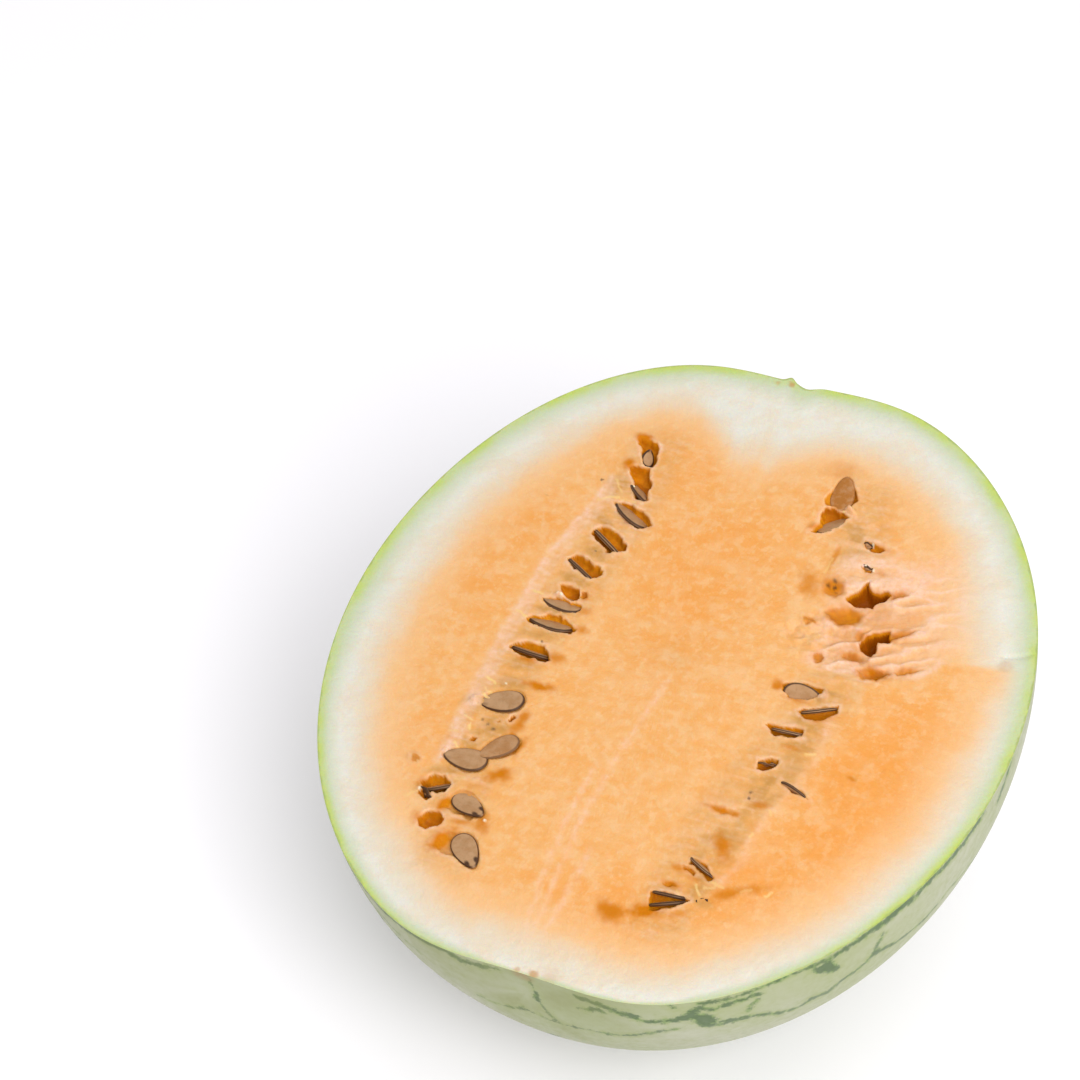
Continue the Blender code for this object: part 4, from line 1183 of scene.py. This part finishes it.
def flesh_finish(settings):
    """Moist cut flesh, running out through blush and white rind to the skin line."""
    made = Finish("cut_flesh")
    mottle = made.clouds(190, 4, 0.6, made.stretched(made.place(), (0.6, 1.0, 1.0)))
    fibres = made.clouds(900, 4, 0.6, made.mark("fibre", "Vector"))
    fine = made.clouds(650, 3, 0.6)
    grain = made.clouds(1500, 2, 0.6)
    broad = made.clouds(40, 3, 0.5)
    deep = made.sum(made.mark("deep"), made.times(made.sum(broad, -0.5), 1.1))
    colour = made.mix(made.ramp(deep, -0.1, 0.9), settings.flesh, settings.flesh_deep)
    calm = made.ramp(deep, 0.2, 0.9, 1.0, 0.55)
    small = made.clouds(330, 3, 0.55)
    for flecks, share in ((made.ramp(mottle, 0.42, 0.66), 0.4), (made.ramp(small, 0.5, 0.64), 0.5),
                          (made.ramp(fibres, 0.5, 0.7), 0.22), (made.ramp(fine, 0.54, 0.7), 0.5)):
        colour = made.mix(made.times(flecks, made.times(calm, share)), colour, settings.flesh_pale)
    colour = made.mix(made.ramp(mottle, 0.48, 0.30, 0.0, 0.30), colour, settings.flesh_deep)
    colour = made.mix(made.ramp(small, 0.48, 0.3, 0.0, 0.3), colour, settings.flesh_deep)
    edge = made.sum(made.mark("flesh"), made.times(made.sum(fibres, -0.5), 2.0))
    edge = made.sum(edge, made.times(made.sum(mottle, -0.5), 5.0))
    colour = made.mix(made.ramp(edge, 18.0, 3.0, 0.0, 0.8), colour, settings.flesh_pale)
    tissue = made.times(made.mark("tissue"), made.ramp(made.clouds(300, 3, 0.5), 0.3, 0.6, 0.8, 1.0))
    colour = made.mix(tissue, colour, settings.tissue)
    # Pale fibre, which includes painted highlights on the torn strands' crests
    pale = made.times(made.mark("pale"), made.ramp(fine, 0.3, 0.6, 0.6, 1.0))
    colour = made.mix(pale, colour, settings.fibre)
    # Soaked amber, also painted shade beside seeds and between torn strands
    soaked = made.times(made.mark("soaked"), made.ramp(mottle, 0.25, 0.6, 0.75, 1.0))
    colour = made.mix(soaked, colour, settings.soaked)
    colour = made.mix(made.mark("straw"), colour, settings.straw)
    colour = made.mix(made.ramp(edge, 8.0, -3.0), colour, settings.blush)
    blushing = made.ramp(made.clouds(110, 4, 0.65), 0.42, 0.66, 0.0, 0.6)
    white = made.mix(blushing, settings.rind, settings.blush)
    colour = made.mix(made.ramp(edge, 0.0, -8.0), colour, white)
    rim = made.mark("rim")
    green = made.mark("green")
    waved = made.sum(rim, made.times(made.sum(made.clouds(60, 3), -0.5), 4.0))
    share = made.sum(waved, green, "DIVIDE")
    colour = made.mix(made.ramp(share, 1.3, 0.2), colour, settings.rind_green)
    rim_fine = made.sum(rim, made.times(made.sum(made.clouds(300, 3), -0.5), 1.6))
    share = made.sum(rim_fine, made.sum(made.times(green, 0.42), 0.3), "DIVIDE")
    patchy = made.ramp(made.clouds(75, 3, 0.6), 0.36, 0.62, 0.4, 1.0)
    patchy = made.times(patchy, made.ramp(green, 1.5, 4.5, 0.25, 1.0))
    colour = made.mix(made.times(made.ramp(share, 1.3, 0.1), patchy), colour, settings.skin_line)
    thin = made.times(made.ramp(rim_fine, 0.7, 0.0), made.ramp(green, 1.5, 5.0, 0.15, 0.9))
    colour = made.mix(thin, colour, settings.skin_edge)
    colour = made.mix(made.mark("stain"), colour, STAIN)
    pocket = made.mix(made.ramp(mottle, 0.3, 0.65), settings.amber, settings.amber_light)
    # Painted shade: darker amber inside the deepest hollows
    pocket = made.mix(made.ramp(made.mark("pocket"), 0.95, 1.3), pocket, settings.amber_painted_shade)
    colour = made.mix(made.ramp(made.mark("pocket"), 0.1, 0.85), colour, pocket)
    colour = made.mix(made.mark("speck"), colour, SPECK)
    # Painted highlights on the small wet torn bits
    colour = made.mix(made.mark("painted_glint"), colour, PAINTED_GLINT)
    made.feed(made.shader.inputs["Base Color"], colour)
    made.feed(made.shader.inputs["Roughness"], made.ramp(fine, 0.3, 0.7, 0.34, 0.55))
    wet = made.sum(made.mark("pocket"), made.mark("soaked"), "MAXIMUM")
    made.feed(made.shader.inputs["Specular IOR Level"], made.ramp(wet, 0.1, 0.8, 0.4, 0.06))
    made.shader.inputs["Subsurface Weight"].default_value = 0.30
    made.shader.inputs["Subsurface Radius"].default_value = (1.0, 0.45, 0.16)
    made.shader.inputs["Subsurface Scale"].default_value = 2.5 * MM
    relief = made.sum(made.times(mottle, 0.3), made.times(fibres, 0.2))
    relief = made.sum(relief, made.sum(made.times(fine, 0.3), made.times(grain, 0.2)))
    made.relief(relief, 0.6 * MM, settings.grain)
    return made.material


def skin_finish(settings):
    """Waxy pale skin with a jagged green net."""
    made = Finish("netted_skin")
    broad = made.clouds(22, 4, 0.55)
    middle = made.clouds(120, 4, 0.6)
    fine = made.clouds(420, 4, 0.6)
    jag = made.clouds(380, 6, 0.75)
    lace = made.cells(330)
    colour = made.mix(made.ramp(broad, 0.35, 0.68), settings.pale, settings.shade)
    colour = made.mix(made.ramp(middle, 0.5, 0.7, 0.0, 0.45), colour, settings.shade)
    colour = made.mix(made.ramp(fine, 0.58, 0.75, 0.0, 0.35), colour, settings.fleck)
    stem = made.times(made.mark("stem"), made.ramp(middle, 0.3, 0.6, 0.7, 1.0))
    colour = made.mix(stem, colour, settings.olive)
    net = made.sum(made.mark("net"), made.times(made.sum(made.clouds(260, 5, 0.65), -0.5), 7.5))
    beside = made.times(made.ramp(net, -1.9, -0.2), made.ramp(fine, 0.42, 0.58))
    colour = made.mix(made.times(beside, 0.8), colour, settings.fleck)
    inner = made.mix(made.ramp(lace, 0.28, 0.5), settings.stripe_light, settings.stripe)
    band = made.mix(made.ramp(net, 1.3, 0.2), inner, settings.stripe)
    holes = made.times(made.ramp(net, 1.4, 3.0), made.ramp(made.clouds(150, 3, 0.5), 0.56, 0.64))
    band = made.mix(made.times(holes, 0.85), band, settings.pale)
    colour = made.mix(made.ramp(net, -0.35, 0.35), colour, band)
    drawn = made.sum(made.mark("drawn"), made.times(made.sum(jag, -0.5), 6.0))
    drawn = made.sum(drawn, made.times(made.sum(middle, -0.5), 3.0))
    halo = made.times(made.ramp(drawn, -2.6, -0.2), made.ramp(fine, 0.35, 0.6, 0.3, 0.8))
    colour = made.mix(made.times(halo, 0.6), colour, settings.fleck)
    line = made.mix(made.ramp(fine, 0.42, 0.6), settings.stripe, settings.stripe_light)
    line = made.mix(made.ramp(drawn, 0.1, 1.1), line, settings.stripe)
    line = made.mix(made.times(made.mark("stem"), 0.8), line, settings.olive_line)
    colour = made.mix(made.ramp(drawn, -0.7, 0.5, 0.0, 0.9), colour, line)
    scar = made.times(made.mark("scar"), made.ramp(fine, 0.3, 0.55, 0.4, 1.0))
    colour = made.mix(scar, colour, settings.scar)
    made.feed(made.shader.inputs["Base Color"], colour)
    made.feed(made.shader.inputs["Roughness"], made.ramp(fine, 0.3, 0.7, 0.36, 0.5))
    made.shader.inputs["Specular IOR Level"].default_value = 0.3
    made.shader.inputs["Subsurface Weight"].default_value = 0.08
    made.shader.inputs["Subsurface Radius"].default_value = (0.6, 0.8, 0.3)
    made.shader.inputs["Subsurface Scale"].default_value = 2.0 * MM
    made.relief(made.sum(made.times(fine, 0.5), made.times(broad, 0.5)), 0.3 * MM, 0.2)
    return made.material


def seed_finish(settings):
    """Wet tan seed coat, dark along its rim and beside its tip."""
    made = Finish("seed_coat")
    clouds = made.clouds(330, 4, 0.6)
    specks = made.clouds(1500, 3, 0.6)
    colour = made.mix(made.mark("amber"), settings.face, settings.soaked)
    colour = made.mix(made.ramp(clouds, 0.4, 0.65, 0.0, 0.5), colour, SEED_LIGHT)
    colour = made.mix(made.ramp(clouds, 0.5, 0.3, 0.0, 0.35), colour, SEED_SHADE)
    colour = made.mix(made.ramp(specks, 0.55, 0.75, 0.0, 0.3), colour, SEED_DUST)
    colour = made.mix(made.mark("seam"), colour, settings.seam)
    colour = made.mix(made.mark("dark"), colour, settings.rim)
    made.feed(made.shader.inputs["Base Color"], colour)
    made.feed(made.shader.inputs["Roughness"], made.ramp(clouds, 0.3, 0.7, 0.36, 0.52))
    made.shader.inputs["Specular IOR Level"].default_value = 0.25
    made.shader.inputs["Subsurface Weight"].default_value = 0.12
    made.shader.inputs["Subsurface Radius"].default_value = (1.0, 0.5, 0.3)
    made.shader.inputs["Subsurface Scale"].default_value = 0.8 * MM
    made.relief(made.sum(made.times(clouds, 0.7), made.times(specks, 0.3)), 0.15 * MM, 0.4)
    return made.material


def floor_finish():
    """Plain white stage floor, lit a little from below like a light table."""
    made = Finish("stage_floor")
    made.feed(made.shader.inputs["Base Color"], FLOOR_COLOUR)
    made.feed(made.shader.inputs["Emission Color"], FLOOR_GLOW)
    made.shader.inputs["Emission Strength"].default_value = 0.1
    made.shader.inputs["Roughness"].default_value = 0.9
    return made.material


def seed_mesh(seed, settings, sides=64):
    """A seed's points in the fruit's axes, its faces and its marks."""
    length, width, thick = (v / MM * seed.size for v in (settings.length, settings.width, settings.thickness))
    turn = np.arange(sides) / sides * math.tau
    across = np.sin(turn) * (1 - SEED_TAPER * np.cos(turn))
    bare_seam = max(0.3, seed.seam)
    at_tip = np.exp(-((((turn + math.pi) % math.tau - math.pi) / 0.22) ** 2))
    stack = [(*step, 1) for step in SEED_PROFILE] + [(*step, -1) for step in SEED_PROFILE[::-1]]
    rings, dark, seam = [], [], []
    for share, height, side in stack:
        x = length / 2 * np.cos(turn) * share
        y = width / 2 * across * share
        rings.append(np.stack([x, y, np.full(sides, side * thick / 2 * height)], -1))
        off = np.hypot((2 * x / length - 0.72) / 0.2, (2 * np.abs(y) / width - 0.40) / 0.22)
        spots = seed.spots * (1 - smooth_step(0.6, 1.15, off))
        starts = 0.93 * (1 - seed.dark)
        shade = smooth_step(starts - 0.03, starts + 0.02, share) * (1 - 0.8 * (share == 1) * bare_seam)
        dark.append(np.clip(shade * (1 - 0.7 * at_tip * (seed.dark < 0.5)) + spots, 0, 1))
        seam.append(np.full(sides, (share == 1) * bare_seam))
    points = np.concatenate(rings)
    tops = np.array([[0, 0, thick / 2], [0, 0, -thick / 2]])
    points[:, 2] += 0.05 * noise(points + 10 * seed.y, 0.9, 302)
    if seed.size < 0.45:
        points += 0.5 * np.stack([noise(points + 10 * seed.y, 1.1, n) for n in (303, 304, 305)], -1)
    count = len(stack)
    fields = {
        "dark": np.concatenate([*dark, [0, 0]]) * (1 - 0.85 * seed.amber),
        "seam": np.concatenate([*seam, [0, 0]]),
        "amber": np.full(count * sides + 2, seed.amber),
    }
    place = (
        Matrix.Translation((seed.x, seed.y, seed.lift))
        @ Matrix.Rotation(math.radians(seed.turn), 4, "Z")
        @ Matrix.Rotation(-math.radians(seed.pitch), 4, "Y")
        @ Matrix.Rotation(math.radians(seed.lean), 4, "X")
    )
    turned = np.array(place)
    placed = np.concatenate([points, tops]) @ turned[:3, :3].T + turned[:3, 3]
    return placed, *tube_faces(count, sides), fields


def add_piece(name, mesh):
    """Put a finished mesh in the scene as a piece that stands for the solid."""
    mesh.validate()
    mesh.shade_smooth()
    piece = bpy.data.objects.new(name, mesh)
    bpy.context.scene.collection.objects.link(piece)
    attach(piece, BODY)
    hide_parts(NODE)
    return piece


def mark_rim(mesh):
    """Keep the edge between the cut face and the skin sharp."""
    slots = np.zeros(len(mesh.polygons), np.int32)
    mesh.polygons.foreach_get("material_index", slots)
    loops = np.zeros(len(mesh.loops), np.int32)
    mesh.loops.foreach_get("edge_index", loops)
    totals = np.zeros(len(mesh.polygons), np.int32)
    mesh.polygons.foreach_get("loop_total", totals)
    of_loop = np.repeat(slots, totals)
    skin_side = np.zeros(len(mesh.edges), bool)
    flesh_side = np.zeros(len(mesh.edges), bool)
    skin_side[loops[of_loop == 1]] = True
    flesh_side[loops[of_loop == 0]] = True
    sharp = mesh.attributes.get("sharp_edge") or mesh.attributes.new("sharp_edge", "BOOLEAN", "EDGE")
    sharp.data.foreach_set("value", skin_side & flesh_side)


class MELON_OT_body(bpy.types.Operator):
    """Add the half's fine body of skin, rind and flesh"""

    bl_idname = "melon.body"
    bl_label = "Add Half"

    def execute(self, context):
        half = melon_half()
        tilted = fruit_to_world(half.points)
        offset = lying_offset(tilted)
        lying = tilted + offset
        lying[:, 2] = np.maximum(lying[:, 2], CAD_LOW.z / MM)
        context.scene["melon_offset"] = offset.tolist()
        mesh = make_mesh("melon_body", within_solid(lying), half.quads, half.fans, half.marks)
        mesh.materials.append(flesh_finish(context.scene.melon_flesh))
        mesh.materials.append(skin_finish(context.scene.melon_skin))
        mesh.polygons.foreach_set("material_index", half.on_skin.astype(np.int32))
        piece = add_piece("melon_body", mesh)
        mark_rim(piece.data)
        return {"FINISHED"}


class MELON_OT_seeds(bpy.types.Operator):
    """Add the seeds that the knife laid bare"""

    bl_idname = "melon.seeds"
    bl_label = "Add Seeds"

    def execute(self, context):
        if "melon_offset" not in context.scene:
            raise RuntimeError("Add the half before its seeds")
        finish = seed_finish(context.scene.melon_seed)
        offset = np.array(context.scene["melon_offset"])
        for side, seeds in (("left", LEFT_SEEDS), ("right", RIGHT_SEEDS)):
            for number, seed in enumerate(seeds, 1):
                name = f"seed_{side}_{number:02d}"
                points, quads, fans, fields = seed_mesh(seed, context.scene.melon_seed)
                mesh = make_mesh(name, fruit_to_world(points) + offset, quads, fans, fields)
                mesh.materials.append(finish)
                add_piece(name, mesh)
        return {"FINISHED"}


class MELON_OT_stage(bpy.types.Operator):
    """Add the floor, the lights and the camera"""

    bl_idname = "melon.stage"
    bl_label = "Add Stage"

    def execute(self, context):
        if "melon_offset" not in context.scene:
            raise RuntimeError("Add the half before the stage")
        settings = context.scene.melon_stage
        floor_mesh = bpy.data.meshes.new("floor")
        corners = [(x * FLOOR_REACH, y * FLOOR_REACH, 0) for x, y in ((-1, -1), (1, -1), (1, 1), (-1, 1))]
        floor_mesh.from_pydata(corners, [], [(0, 1, 2, 3)])
        floor_mesh.materials.append(floor_finish())
        floor = bpy.data.objects.new("floor", floor_mesh)
        floor.location.z = CAD_LOW.z - FLOOR_GAP
        context.scene.collection.objects.link(floor)
        world = bpy.data.worlds.new("even_light")
        world.use_nodes = True
        sky = world.node_tree.nodes["Background"]
        sky.inputs["Color"].default_value = (1, 1, 1, 1)
        sky.inputs["Strength"].default_value = settings.sky
        context.scene.world = world
        add_light("key", KEY_PLACE, KEY_SIZE, settings.key)
        add_light("top", TOP_PLACE, TOP_SIZE, settings.top)
        add_camera(context, settings)
        context.scene.view_settings.view_transform = "Standard"
        return {"FINISHED"}


def add_light(name, place, size, power):
    """A large square light that faces the half."""
    data = bpy.data.lights.new(name, "AREA")
    data.shape = "SQUARE"
    data.size = size
    data.energy = power
    light = bpy.data.objects.new(name, data)
    light.location = place
    middle = Vector((0, 0, LIT_HEIGHT))
    light.rotation_euler = (middle - Vector(place)).to_track_quat("-Z", "Y").to_euler()
    bpy.context.scene.collection.objects.link(light)


def add_camera(context, settings):
    """The camera, at the angle from which the half is first seen."""
    data = bpy.data.cameras.new("camera")
    data.lens = settings.lens
    data.sensor_width = 36
    camera = bpy.data.objects.new("camera", data)
    face_middle = Vector(context.scene["melon_offset"]) * MM
    camera.location = face_middle + Vector(FACE_TO_CAMERA)
    camera.rotation_euler = Euler((math.pi / 2 - settings.elevation, 0, settings.azimuth))
    context.scene.collection.objects.link(camera)
    context.scene.camera = camera


class MELON_PT_panel(bpy.types.Panel):
    """Steps that build the half, in order"""

    bl_label = "Watermelon Half"
    bl_idname = "MELON_PT_panel"
    bl_space_type = "VIEW_3D"
    bl_region_type = "UI"
    bl_category = "Melon"

    def draw(self, context):
        for operator in (MELON_OT_body, MELON_OT_seeds, MELON_OT_stage):
            self.layout.operator(operator.bl_idname)


SETTINGS = {
    "melon_flesh": MelonFleshSettings,
    "melon_skin": MelonSkinSettings,
    "melon_seed": MelonSeedSettings,
    "melon_stage": MelonStageSettings,
}
CLASSES = (*SETTINGS.values(), MELON_OT_body, MELON_OT_seeds, MELON_OT_stage, MELON_PT_panel)


def register():
    """Make the settings, operators and panel known."""
    for item in CLASSES:
        bpy.utils.register_class(item)
    for name, group in SETTINGS.items():
        setattr(bpy.types.Scene, name, PointerProperty(type=group))


def unregister():
    """Take them away again."""
    for name in SETTINGS:
        delattr(bpy.types.Scene, name)
    for item in reversed(CLASSES):
        bpy.utils.unregister_class(item)


def main():
    """Build everything."""
    register()
    bpy.ops.melon.body()
    bpy.ops.melon.seeds()
    bpy.ops.melon.stage()


if __name__ == "__main__":
    main()
